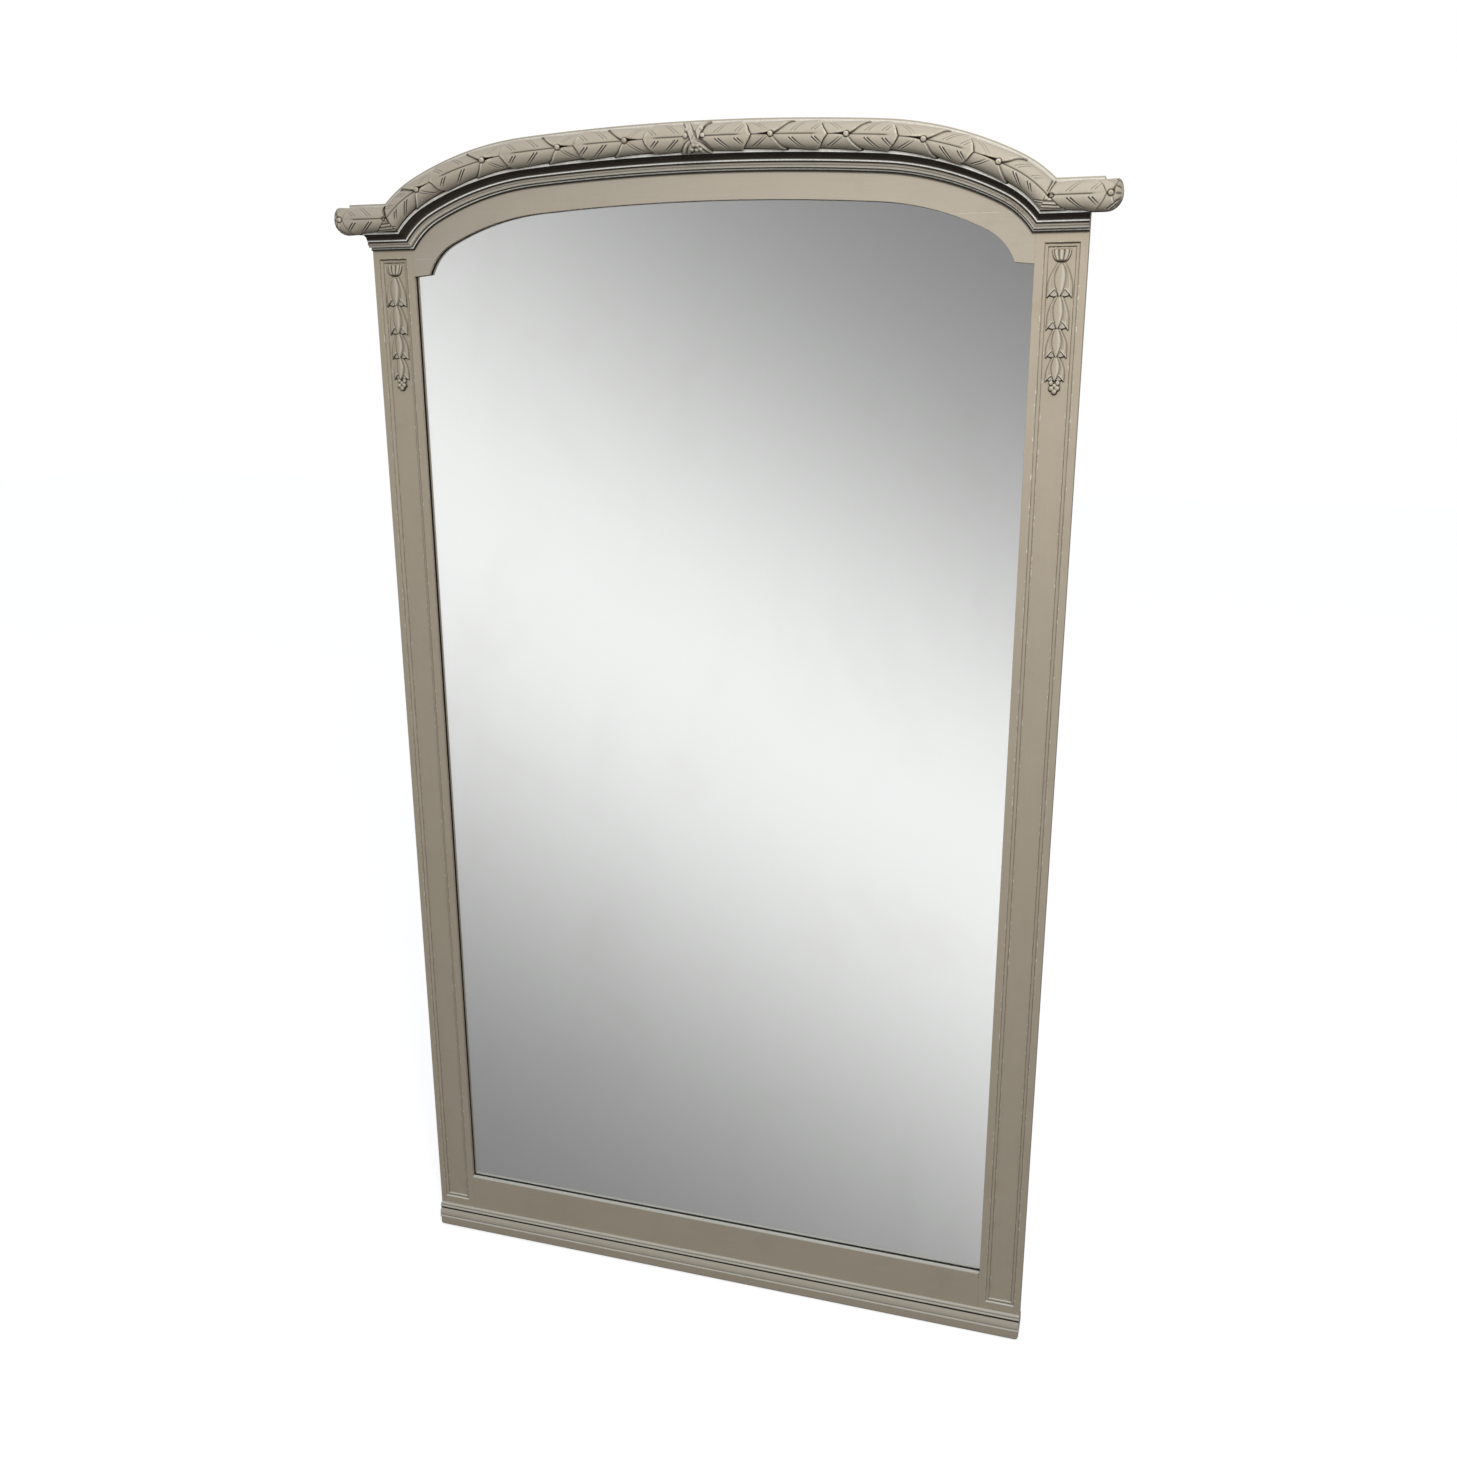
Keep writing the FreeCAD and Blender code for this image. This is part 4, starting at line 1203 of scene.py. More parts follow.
    def veins(self, leaf: Leaf) -> None:
        """Incise the strokes of a leaf and its side leaves, faintly above the front line.

        Args:
            leaf: its stations.
        """
        length = leaf.tip - leaf.base
        shares = (0.34, 0.72) if length > self.long_leaf else (0.45,)
        for half, strength in ((-1, 1.0), (1, 0.4)):
            for share in shares:
                station = leaf.base + share * length + self.shift(2.0)
                run = (11.0 if share > 0.6 else 20.5) + self.shift(1.5)
                low = 4.5 + self.shift(0.8)
                self.strokes((station, half * low), run, half * 0.95, 1.6, 1.2, strength, 0.08)
            station = leaf.tip + 1.0 + self.shift(1.0)
            run = 15.5 + self.shift(1.5)
            foot = 19.0 + self.shift(1.0)
            self.strokes((station, half * foot), run, -half * 0.95, 1.5, 1.1, strength)
            if half < 0:
                station = leaf.berry + 4.0 + self.shift(1.0)
                for apart in (0.0, 3.4):
                    self.line((station + apart - 4.0, -(21.0 + self.shift(0.6))),
                              (station + apart - 14.0, -(24.5 + self.shift(0.6))), 0.9, 0.5, 0.5)


@dataclass
class Garland:
    """Laurel garland on the arch and its two shoulders, carved leaf by leaf."""

    radius: float = 17.75
    knot_x: float = 5.0
    end_x: float = 538.6
    step: float = 0.55
    tips: dict[Side, tuple[float, ...]] = field(default_factory=lambda: {
        Side.LEFT: (66.5, 164.0, 271.5, 383.0), Side.RIGHT: (79.0, 177.5, 268.0, 363.5)})
    berries: dict[Side, tuple[float, ...]] = field(default_factory=lambda: {
        Side.LEFT: (91.5, 186.5, 298.0, 405.5), Side.RIGHT: (105.0, 202.5, 299.5, 396.0)})
    end_tip: float = 519.5
    end_berry: float = 524.0
    end_low: float = 20.0
    end_front: float = 16.0
    end_top: float = 7.0
    end_swell: float = 3.0
    swell_from: float = 494.0
    swell_over: float = 12.0
    deepest: float = 7.0
    end_deepest: float = 6.0
    mitre_tip: float = 560.0
    mitre_berry: float = 600.0
    vein_tip: float = 62.0
    vein_berry: float = 90.0
    arch_seed: int = 5
    shoulder_seed: int = 11

    def angles(self) -> np.ndarray:
        """Angles round the half-round, from its lower edge to its upper edge."""
        count = int(self.radius * math.pi / self.step)
        return np.linspace(-math.pi / 2, math.pi / 2, count)

    def leaves(self, side: Side) -> list[Leaf]:
        """The arch's leaves on one side, the last one running into the mitre.

        Args:
            side: which side.

        Returns:
            The leaves from the ribbon outwards.
        """
        berries = self.berries[side]
        bases = (side.value * self.knot_x,) + berries
        found = [Leaf(*stations) for stations in zip(bases, self.tips[side], berries)]
        return found + [Leaf(berries[-1], self.mitre_tip, self.mitre_berry)]

    def arch_half(self, side: Side) -> bpy.types.Object:
        """Carve the garland from the ribbon to one mitre.

        Args:
            side: which side.

        Returns:
            The carved piece.
        """
        angle = self.angles()
        ends = ARCH.mitre_distance(ARCH.reference + self.radius * np.sin(angle))
        start = side.value * self.knot_x
        straight = ARCH.mitre_from
        plain = np.arange(start, straight, self.step)
        last = np.linspace(0.0, 1.0, int((ends.max() - straight) / self.step))
        along = np.concatenate([np.repeat(plain[:, None], len(angle), 1),
                                straight + last[:, None] * (ends[None, :] - straight)])
        turn_round = np.repeat(angle[None, :], len(along), 0)
        carver = Carver(along, turn_round * self.radius, self.radius * math.pi / 2,
                        self.arch_seed + side.value)
        leaves = self.leaves(side)
        for number, leaf in enumerate(leaves):
            carver.leaf(leaf, first=number == 0)
        tail = leaves[-1].base
        for leaf in leaves[:-1] + [Leaf(tail, tail + self.vein_tip, tail + self.vein_berry)]:
            carver.veins(leaf)
        self.mitre_fold(carver, ends)
        return self.wrap(side, along, turn_round, carver)

    def mitre_fold(self, carver: Carver, ends: np.ndarray) -> None:
        """Tuck the last leaf in where it meets the shoulder, with painted shade in the fold.

        Args:
            carver: the arch's carver.
            ends: station of the mitre for each row.
        """
        gap = ends[None, :] - carver.along
        fold = np.exp(-(gap / 1.6) ** 2)
        carver.depth += 0.9 * fold
        carver.darken(0.9 * fold * (np.abs(carver.girth) > 3))

    @staticmethod
    def stack(carver: Carver, under: np.ndarray, past: np.ndarray) -> None:
        """Bold ridges stacked below the front line, next to the mitre, with painted shade in their
        grooves, painted highlights on their crests and a painted shadow under the overhanging leaf edge.

        Args:
            carver: the carver of the length.
            under: where the ridges are.
            past: mm beyond the leaf edge that overhangs them.
        """
        groove = 0.5 + 0.5 * np.cos((carver.girth + 5.0) * 2 * math.pi / 5.4 + 0.12 * carver.along)
        carver.depth = np.where(under, 0.9 + 1.8 * groove, carver.depth)
        carver.shade_and_marks = np.where(under, 0.7 * groove ** 3, carver.shade_and_marks)
        carver.glow = np.where(under, 0.3 * (1.0 - groove) ** 3, carver.glow)
        shade = np.exp(-(past / 1.1) ** 2) * (carver.girth < -4.0)
        carver.darken(shade)

    def wrap(self, side: Side, along: np.ndarray, angle: np.ndarray, carver: Carver) -> bpy.types.Object:
        """Lay the carved half-round round the arch.

        Args:
            side: which side.
            along: station of each point.
            angle: angle of each point round the half-round.
            carver: what has been cut.

        Returns:
            The piece.
        """
        carver.foot()
        radius = self.radius - np.clip(carver.depth, 0.0, self.deepest)
        x, z = ARCH.point(ARCH.turn_at(along), ARCH.reference + radius * np.sin(angle))
        points = grid_points(side.value * x, ARCH.crest_y - radius * np.cos(angle), z)
        node = side.part("arch_garland")
        return self.finish_length(node, node + "_carved_paint", points, carver, side is Side.LEFT)

    @staticmethod
    def finish_length(node: str, paint: str, points: np.ndarray, carver: Carver,
                      flip: bool) -> bpy.types.Object:
        """Make a carved length and paint it like the boards at the top.

        Args:
            node: the CAD node that it stands for.
            paint: the name of its paint.
            points: its points in mm.
            carver: what has been cut.
            flip: turn the faces over.

        Returns:
            The piece.
        """
        hollow, ridge = hollow_and_ridge(-carver.depth, 4, 1.1)
        # Painted shade in the hollows and cuts and painted highlights from the carver; the ridges take
        # wear.
        masks = {"hollow": highest(hollow ** 1.4, carver.shade_and_marks), "ridge": ridge, "pale": carver.glow}
        return make_piece(node + "_carved", node, points, grid_faces(*carver.depth.shape, flip=flip),
                          Paint(paint, Grain.EVEN, carved=True, colour=UPPER_COLOUR), masks)

    def shoulder(self, side: Side) -> bpy.types.Object:
        """Carve the level garland of a shoulder, with its long leaf, berry seat and fluted round end.

        Args:
            side: which side.

        Returns:
            The carved piece.
        """
        angle = self.angles()
        starts = ARCH.mitre_x(ARCH.reference + self.radius * np.sin(angle))
        pull = np.sin(angle) ** 2
        reach = self.end_front + np.where(angle < 0, self.end_low - self.end_front,
                                          self.end_top - self.end_front) * pull
        centres = self.end_x - reach
        level = np.linspace(0.0, 1.0, int(100.0 / self.step))[:, None]
        straight = starts[None, :] + level * (centres - starts)[None, :]
        swing = np.linspace(0.0, math.pi / 2, int(26.0 / self.step))[1:, None]
        x = np.concatenate([straight, centres[None, :] + reach[None, :] * np.sin(swing)])
        shrink = np.concatenate([np.ones_like(straight), np.repeat(np.cos(swing), len(angle), 1)])
        turn_round = np.repeat(angle[None, :], len(x), 0)
        carver = Carver(x, turn_round * self.radius * np.maximum(shrink, 0.25), self.radius * math.pi / 2,
                        self.shoulder_seed + side.value)
        start = float(ARCH.mitre_x(np.array(ARCH.reference)))
        carver.leaf(Leaf(start, self.end_tip, self.end_berry), lean=(12.0, 10.0), back=14.0, relief=0.4)
        carver.veins(Leaf(start, self.end_tip, self.end_berry))
        self.collar(carver, start)
        self.fan(carver, turn_round)
        carver.foot()
        swell = self.end_swell * np.clip((x - self.swell_from) / self.swell_over, 0.0, 1.0)
        swell = swell * np.clip(-np.sin(turn_round), 0.0, 1.0)
        radius = (self.radius + swell - np.clip(carver.depth, 0.0, self.end_deepest)) * shrink
        z = ARCH.shoulder + ARCH.reference + radius * np.sin(turn_round)
        points = grid_points(side.value * x, ARCH.crest_y - radius * np.cos(turn_round), z)
        node = side.part("shoulder_garland")
        return self.finish_length(node, node + "_paint", points, carver, side is Side.LEFT)

    @staticmethod
    def collar(carver: Carver, start: float) -> None:
        """Three stacked ridges under the mitre, and the drilled knot on its front line.

        Args:
            carver: the shoulder's carver.
            start: station of the mitre on the front line.
        """
        edge = start + 2.0 + 24.0 * carver.share
        Garland.stack(carver, (carver.girth < -5.0) & (carver.along < edge), carver.along - edge)
        apart = np.hypot(carver.along - start - 5.5, carver.girth + 0.6)
        ring = np.exp(-((apart - 3.0) / 0.9) ** 2)
        carver.depth += 1.6 * ring
        # Painted shade in the knot's drilled ring.
        carver.darken(0.9 * ring)

    def fan(self, carver: Carver, angle: np.ndarray) -> None:
        """Short flutes that fan out past the last berry.

        Args:
            carver: the shoulder's carver.
            angle: angle of each point round the half-round.
        """
        past = np.clip((carver.along - self.end_berry - 4.5) / 2.5, 0.0, 1.0)
        past *= np.clip((self.end_x - 1.5 - carver.along) / 2.0, 0.0, 1.0)
        flutes = (0.5 + 0.5 * np.cos(angle * 11.0 + 0.4)) ** 3 * past * (np.abs(angle) < 1.3)
        carver.depth += 0.9 * flutes
        # Painted shade in the flutes.
        carver.darken(0.85 * flutes)

    def build(self) -> None:
        """Carve all four lengths."""
        for side in Side:
            self.arch_half(side)
            self.shoulder(side)


# ---------------------------------------------------------------- berries

def berry(centre: Triple, radius: float, rings: int = 14, turns: int = 22,
          seed: int = 0) -> tuple[np.ndarray, list, np.ndarray]:
    """A carved berry: slightly flattened ball with a dimple where the flower was.

    Args:
        centre: its centre in mm.
        radius: its radius in mm.
        rings: rings from the front to the back.
        turns: points in a ring.
        seed: seed of its irregular shape.

    Returns:
        Points, faces and a mask of painted shade, in the dimple and round the berry's back.
    """
    chance = random.Random(seed)
    lumps = [(chance.uniform(0, 6.28), chance.uniform(0, 6.28)) for _ in range(3)]
    points, hollow = [], []
    for ring in range(rings + 1):
        polar = math.pi * ring / rings
        for turn in range(turns):
            round_angle = 2 * math.pi * turn / turns
            swell = 1.0 + 0.02 * math.sin(2 * round_angle + lumps[0][0]) + 0.015 * math.sin(
                3 * round_angle + 2 * polar + lumps[1][0])
            dimple = math.exp(-(polar / 0.22) ** 2)
            r = radius * swell * (1.0 - 0.13 * dimple)
            points.append((centre[0] + r * math.sin(polar) * math.cos(round_angle),
                           centre[1] - r * math.cos(polar) * 0.98,
                           centre[2] + r * math.sin(polar) * math.sin(round_angle)))
            hollow.append(max(0.75 * dimple, min(1.0, max(0.0, (polar - 1.25) * 1.6))))
    faces = []
    for ring in range(rings):
        for turn in range(turns):
            after = (turn + 1) % turns
            a, b = ring * turns + turn, ring * turns + after
            faces.append((a, a + turns, b + turns, b))
    return np.array(points), faces, np.array(hollow)


@dataclass
class Berries:
    """The single berries of the garland and the small cluster at the knot."""

    radius: float = 3.4
    sink: float = 0.6
    small: float = 2.8
    knot: tuple[tuple[float, float], ...] = (
        (-12.0, 0.3), (-10.5, 8.0), (10.8, 0.3), (8.8, 8.6), (-2.4, -10.2), (3.0, -10.6), (-5.6, -14.6),
        (0.3, -15.0), (6.0, -14.6))

    def gather(self, name: str, places: list[Triple], radius: float, node: str,
               shine: float = 0.12) -> None:
        """Make one piece from several berries.

        Args:
            name: the piece's name.
            places: their centres in mm.
            radius: their radius.
            node: the CAD node that they stand for.
            shine: how strong the painted highlight on their fronts is.
        """
        points, faces, hollow, count = [], [], [], 0
        for seed, place in enumerate(places):
            some, quads, mask = berry(place, radius, seed=seed)
            points.append(some)
            faces += [tuple(corner + count for corner in quad) for quad in quads]
            hollow.append(mask)
            count += len(some)
        shade = np.concatenate(hollow)
        # Painted shade and painted highlight from each berry's mask; the ridge mask wears their fronts.
        masks = {"hollow": shade * (1.0 - shine), "ridge": 0.8 - 0.8 * shade,
                 "pale": shine * (1.0 - shade)}
        make_piece(name, node, np.concatenate(points), faces,
                   Paint(name + "_paint", Grain.EVEN, carved=True, wear=1.0), masks)

    def build(self, garland: Garland) -> None:
        """Seat every berry.

        Args:
            garland: the garland that carries them.
        """
        front = ARCH.crest_y - garland.radius + self.sink
        places = []
        for side, stations in garland.berries.items():
            for station in stations:
                x, z = ARCH.point(ARCH.turn_at(np.array(station)), np.array(ARCH.reference))
                places.append((side.value * float(x), front, float(z)))
            places.append((side.value * garland.end_berry, front + 1.0, ARCH.shoulder + ARCH.reference))
        self.gather("garland_berries_carved", places, self.radius, "garland_berries")
        places = []
        for across, up in self.knot:
            forward = math.sqrt(garland.radius ** 2 - up ** 2) + self.sink
            places.append((garland.knot_x + across, ARCH.crest_y - forward,
                           ARCH.apex + ARCH.reference + up))
        self.gather("ribbon_berries_carved", places, self.small, "ribbon_berries", 0.5)


# ---------------------------------------------------------------- crossed ribbon

@dataclass
class CrossedRibbon:
    """Two wrinkled bands crossed over the middle of the garland."""

    radius: float = 17.75
    skin: float = 1.6
    width: float = 9.2
    low_width: float = 16.5
    knot_x: float = 5.0
    cross: float = -6.5
    low_spread: float = 17.0
    high_spread: float = 15.5
    overlap: float = 0.9
    lengthwise: int = 120
    crosswise: int = 27

    def band(self, foot: Side,
             over: float) -> tuple[np.ndarray, list, np.ndarray, np.ndarray, np.ndarray]:
        """One band from the top of the garland to its foot.

        Args:
            foot: the side on which it ends below.
            over: how far it rides over the other one at the crossing, in mm.

        Returns:
            Points, faces, and masks for painted shade, ridges and painted highlights.
        """
        slant = foot.value
        way = np.linspace(-1.0, 1.0, self.lengthwise)[:, None]
        across = np.linspace(-1.0, 1.0, self.crosswise)[None, :]
        reach = self.radius * math.pi / 2 * 0.97
        girth = way * reach
        under = np.clip(self.cross - girth, 0.0, None) / (reach + self.cross)
        above = (girth - self.cross) / (reach - self.cross)
        middle = self.knot_x + slant * np.where(girth < self.cross, self.low_spread * under ** 0.6,
                                                -self.high_spread * above)
        lower = np.clip((self.cross + 4.0 - girth) / 12.0, 0.0, 1.0)
        turn = 0.42 + 0.42 * lower
        wide = (self.width + (self.low_width - self.width) * lower) / 2
        x = middle + across * wide * np.cos(turn)
        v = np.clip(girth + slant * across * wide * np.sin(turn), -self.radius * math.pi / 2,
                    self.radius * math.pi / 2)
        rolled = 0.6 * np.exp(-((np.abs(across) - 0.8) / 0.15) ** 2) - 0.25 * (1.0 - across ** 2)
        fold = np.cos(across * 7.4 + slant * 0.5 + way * 3.0)
        creases = 0.3 * np.sin(across * 5.0 + way * 9.0) * np.exp(-((girth - self.cross) / 9.0) ** 2)
        crossing = over * np.exp(-((girth - self.cross) / 5.0) ** 2)
        height = 1.1 + rolled * (1.0 - lower) + (0.25 + 0.8 * fold) * lower + creases + crossing
        height = np.clip(height, 0.3, self.skin + 0.7)
        edge = np.abs(across) > 0.999
        height = np.where(edge | (np.abs(way) > 0.999), -2.2, height)
        radius = self.radius + height
        angle = v / self.radius
        points = grid_points(x, ARCH.crest_y - radius * np.cos(angle),
                             ARCH.apex + ARCH.reference + radius * np.sin(angle))
        hollow, ridge = hollow_and_ridge(height, 2, 0.6)
        # Painted shade on the band's rims, on the lower band beside the upper one and in the folds of the
        # feet; painted highlights along each band and on the folds.
        rim = (0.8 * np.clip((np.abs(across) - 0.72) / 0.12, 0.0, 1.0)
               * np.clip((19.0 - girth) / 7.0, 0.2, 1.0))
        beneath = np.abs(x - 2 * self.knot_x + middle) - wide * 1.2
        beneath = (slant < 0) * np.exp(-(beneath / 1.1) ** 2) * (np.abs(girth - self.cross) < 11.0)
        hollow = highest(hollow, rim, 0.95 * beneath, 0.95 * lower * np.clip(-fold, 0.0, 1.0) ** 2)
        glow = 0.55 * np.exp(-((np.abs(across) - 0.42) / 0.2) ** 2) * (1.0 - lower) * (1.0 - beneath)
        glow = highest(glow, 0.8 * lower * np.clip(fold, 0.0, 1.0) ** 3)
        return points, grid_faces(self.lengthwise, self.crosswise, flip=True), hollow, ridge, glow

    def build(self) -> None:
        """Make both bands as one piece."""
        first, second = self.band(Side.RIGHT, self.overlap), self.band(Side.LEFT, 0.0)
        count = len(first[0])
        points = np.concatenate([first[0], second[0]])
        faces = first[1] + [[corner + count for corner in quad] for quad in second[1]]
        masks = {title: np.concatenate([over.ravel(), under.ravel()])
                 for title, over, under in zip(("hollow", "ridge", "pale"), first[2:], second[2:])}
        make_piece("crossed_ribbon_carved", "crossed_ribbon", points, faces,
                   Paint("ribbon_paint", Grain.EVEN, carved=True, wear=0.9, colour=UPPER_COLOUR), masks)


# ---------------------------------------------------------------- husk drops

Relief = tuple[np.ndarray, np.ndarray, np.ndarray]


@dataclass
class HuskDrop:
    """Cup, four bellflowers and a berried bud, carved on the sunk field of a stile."""

    centre: float = 468.2
    field_y: float = -18.0
    relief: float = 6.2
    step: float = 0.36
    half_width: float = 17.0
    lowest: float = 1422.0
    top: float = 1603.0
    skirt: float = 0.12
    bells: tuple[Triple, ...] = (
        (1584.0, 1543.8, 31.0), (1545.0, 1504.8, 27.4), (1506.0, 1470.4, 26.2), (1471.6, 1441.4, 23.4))
    cup: Triple = (1599.8, 1585.2, 23.0)
    bud: tuple[float, float] = (1441.6, 1424.6)

    @staticmethod
    def rounded(inside: np.ndarray, sharpness: float = 0.5) -> np.ndarray:
        """Height of a rounded form where a value falls from 1 in its middle to 0 at its edge."""
        return np.clip(inside, 0.0, 1.0) ** sharpness

    @staticmethod
    def near(distance: np.ndarray, width: float) -> np.ndarray:
        """A soft line where a distance is zero."""
        return np.exp(-(distance / width) ** 2)

    def bell(self, x: np.ndarray, z: np.ndarray, level: Triple) -> Relief:
        """One bellflower: a long middle petal, two side petals and the tips of two behind.

        Args:
            x: across from the drop's middle.
            z: level of each point.
            level: its top, its foot and its width at the foot.

        Returns:
            Height above the field, painted shade and painted highlights.
        """
        top, foot, wide = level
        length = top - foot
        way = (top - z) / length
        size = np.abs(x)
        held = np.clip(way, 0.0, 1.0)
        outer = wide / 2 * (0.26 + 0.74 * np.sin(np.clip(held / 0.78, 0.0, 1.0) * math.pi / 2) ** 0.9)
        heart = 0.205 * wide * np.sin(np.pi * held ** 0.9) ** 0.8 + 0.3
        reach = size / (wide / 2)
        lip = 0.79 + np.where(reach > 0.4, 0.20 * (np.clip(reach - 0.4, 0.0, None) / 0.5) ** 1.15,
                              0.21 * (0.4 - reach) / 0.36)
        share = np.clip((size - heart) / np.maximum(outer - heart, 0.3), 0.0, 1.0)
        middle = (size < heart) & (way > 0) & (way < 1)
        petal = ~middle & (size < outer) & (way > 0) & (way < lip)
        point = 1.0 - np.abs(reach - 0.42) / 0.42
        foot_line = (0.965 + 0.045 * np.clip(point, 0.0, 1.0)
                     + 0.05 * np.clip(reach - 0.82, 0.0, 0.2) / 0.2)
        back = ~middle & (way >= lip) & (way < foot_line) & (reach > 0.04) & (reach < 1.0)
        to_lip = (lip - way) * length

        height = np.where(petal, (1.5 + 2.3 * np.sin(np.pi * (share * 0.9 + 0.05)) ** 0.6
                                  + 0.2 * np.cos(share * 17.0)) * self.rounded(held * 9, 0.7), 0.0)
        height += 0.8 * self.near(to_lip, 1.3) * petal
        height = np.where(back, 1.2 + 2.0 * np.clip(point, 0.0, 1.0), height)
        almond = np.clip(1.0 - (size / heart) ** 2, 0.0, 1.0)
        height = np.where(
            middle, (4.3 + 1.8 * self.rounded(almond, 0.6)) * self.rounded(held * 12, 0.5), height)

        # Painted shade along the outlines, under the lip and along the feet of the back petals; painted
        # highlights on the lip's roll, the back petals, the middle petal and in streaks, stronger on the
        # right-hand side.
        painted_shade = highest(0.45 * self.near(heart - size, 0.5) * (way > 0.05) * (middle | petal),
                       0.32 * self.near(share - 0.52, 0.06) * petal * (way > 0.12) * (way < 0.75),
                       0.3 * self.near(outer - size, 0.6) * petal,
                       self.near(to_lip + 0.5, 0.8) * (petal | back),
                       0.95 * self.near((foot_line - way) * length, 0.7) * back,
                       0.5 * self.near(reach - 0.42, 0.03) * back * (way > 0.86))
        streaks = self.near(np.sin(share * 11.0 + way * 2.0) - 0.95, 0.25)
        glow = highest(0.8 * self.near(to_lip - 1.1, 0.7) * petal,
                       0.38 * np.clip(point * 2.0, 0.0, 1.0) * back,
                       0.55 * self.near(x / heart - 0.5, 0.22) * middle * (way > 0.08),
                       0.5 * streaks * petal * (0.45 + 0.55 * (x > 0)))
        return height, painted_shade, glow

    def fluted_cup(self, x: np.ndarray, z: np.ndarray) -> Relief:
        """The five-fluted cup at the head of the drop.

        Args:
            x: across from the drop's middle.
            z: level of each point.

        Returns:
            Height above the field, painted shade and painted highlights.
        """
        top, foot, wide = self.cup
        way = (top - z) / (top - foot)
        half = wide / 2 * np.sqrt(np.clip(1.0 - 0.86 * np.clip(way, 0.0, 1.0) ** 2.2, 0.0, 1.0))
        share = x / np.maximum(half, 0.2)
        flute = np.abs(np.cos(np.arcsin(np.clip(share, -1, 1)) * 5.0))
        body = (way > 0.05 * (1.0 - flute)) & (way < 1) & (np.abs(share) < 1)
        height = 1.2 + 2.8 * np.sqrt(np.clip(1 - share ** 2, 0, 1)) + 1.6 * flute ** 0.6
        height = np.where(body, height * self.rounded((1 - way) * 6, 0.5), 0.0)
        # Painted shade in the flutes and along the foot; painted highlights on the flutes' crests.
        painted_shade = 0.95 * np.exp(-(flute / 0.34) ** 2) * body * np.clip(1.25 - way * 0.5, 0.0, 1.0)
        painted_shade = highest(painted_shade, 0.7 * self.near(way - 1.0, 0.08) * body)
        glow = 0.5 * np.clip((flute - 0.75) / 0.2, 0.0, 1.0) * body * (way < 0.9)
        return height, painted_shade, glow

    def berried_bud(self, x: np.ndarray, z: np.ndarray) -> Relief:
        """The capped cluster of berries at the foot of the drop.

        Args:
            x: across from the drop's middle.
            z: level of each point.

        Returns:
            Height above the field, painted shade and painted highlights.
        """
        high, low = self.bud
        height, painted_shade, glow = np.zeros_like(x), np.zeros_like(x), np.zeros_like(x)
        balls = ((-3.6, low + 7.4, 3.5), (3.6, low + 7.8, 3.5), (0.3, low + 3.6, 3.5),
                 (0.2, low + 11.0, 2.9))
        # Painted shade round each ball and cap; painted highlights on the balls' upper right and the
        # caps' middles.
        for across, level, radius in balls:
            apart = np.hypot(x - across, z - level)
            dome = np.sqrt(np.clip(radius ** 2 - apart ** 2, 0, None))
            ball = np.where(apart < radius, 2.0 + dome, 0.0)
            over = ball > height
            painted_shade = np.where(over, 0.95 * self.near(apart - radius, 0.7), painted_shade)
            glow = np.where(over, 0.7 * self.near(np.hypot(x - across - 0.8, z - level - 0.9), 1.3), glow)
            height = np.maximum(height, ball)
        for across, reach in ((-4.0, 3.2), (4.2, 3.2)):
            petal = ((x - across) / 2.7) ** 2 + ((z - high + 2.6) / reach) ** 2
            cap = np.where(petal < 1, 1.5 + 2.2 * np.sqrt(np.clip(1 - petal, 0, 1)), 0)
            over = cap > height
            painted_shade = np.where(over, 0.9 * np.clip((petal - 0.65) / 0.3, 0.0, 1.0), painted_shade)
            glow = np.where(over, 0.4 * (petal < 0.5), glow)
            height = np.maximum(height, cap)
        return height, painted_shade, glow

    def build(self, side: Side) -> None:
        """Carve the drop of one stile.

        Args:
            side: which side.
        """
        sign = side.value
        across = np.arange(-self.half_width, self.half_width + self.step, self.step)
        levels = np.arange(self.lowest, self.top, self.step)
        x, z = np.meshgrid(across, levels, indexing="ij")
        bent = x + 0.35 * np.sin(z * 0.05 + sign) + 0.2 * np.sin(z * 0.21)
        height, painted_shade, glow = self.berried_bud(bent, z)
        forms = [self.bell(bent, z, level) for level in reversed(self.bells)] + [self.fluted_cup(bent, z)]
        for form in forms:
            over = form[0] > height
            painted_shade, glow = np.where(over, form[1], painted_shade), np.where(over, form[2], glow)
            height = np.where(over, form[0], height)
        height = np.clip(height, 0.0, self.relief)
        solid = (height > 0.05).astype(float)
        # Painted shadow: a thin dark skirt round the forms, darkest below them.
        skirt = (blurred(solid, 3) > 0.02) & (solid == 0)
        above = np.roll(blurred(solid, 1), -3, axis=1) > 0.3
        height = np.where(skirt, self.skirt, height)
        painted_shade = np.where(skirt, np.where(above, 0.9, 0.35), painted_shade)
        keep = highest(height[:-1, :-1], height[1:, :-1], height[1:, 1:], height[:-1, 1:]) > 0.05
        points = grid_points(sign * self.centre + x, self.field_y + 0.1 - height, z)
        hollow, ridge = hollow_and_ridge(height, 3, 1.8)
        masks = {"hollow": highest(0.7 * hollow, painted_shade), "ridge": ridge, "pale": glow * 0.8}
        finish = Paint(side.part("husk_paint"), Grain.EVEN, carved=True)
        make_piece(side.part("husk_drop_carved"), side.part("husk_drop"), points,
                   grid_faces(*x.shape, keep=keep), finish, masks)


# ---------------------------------------------------------------- nodes carried over from CAD

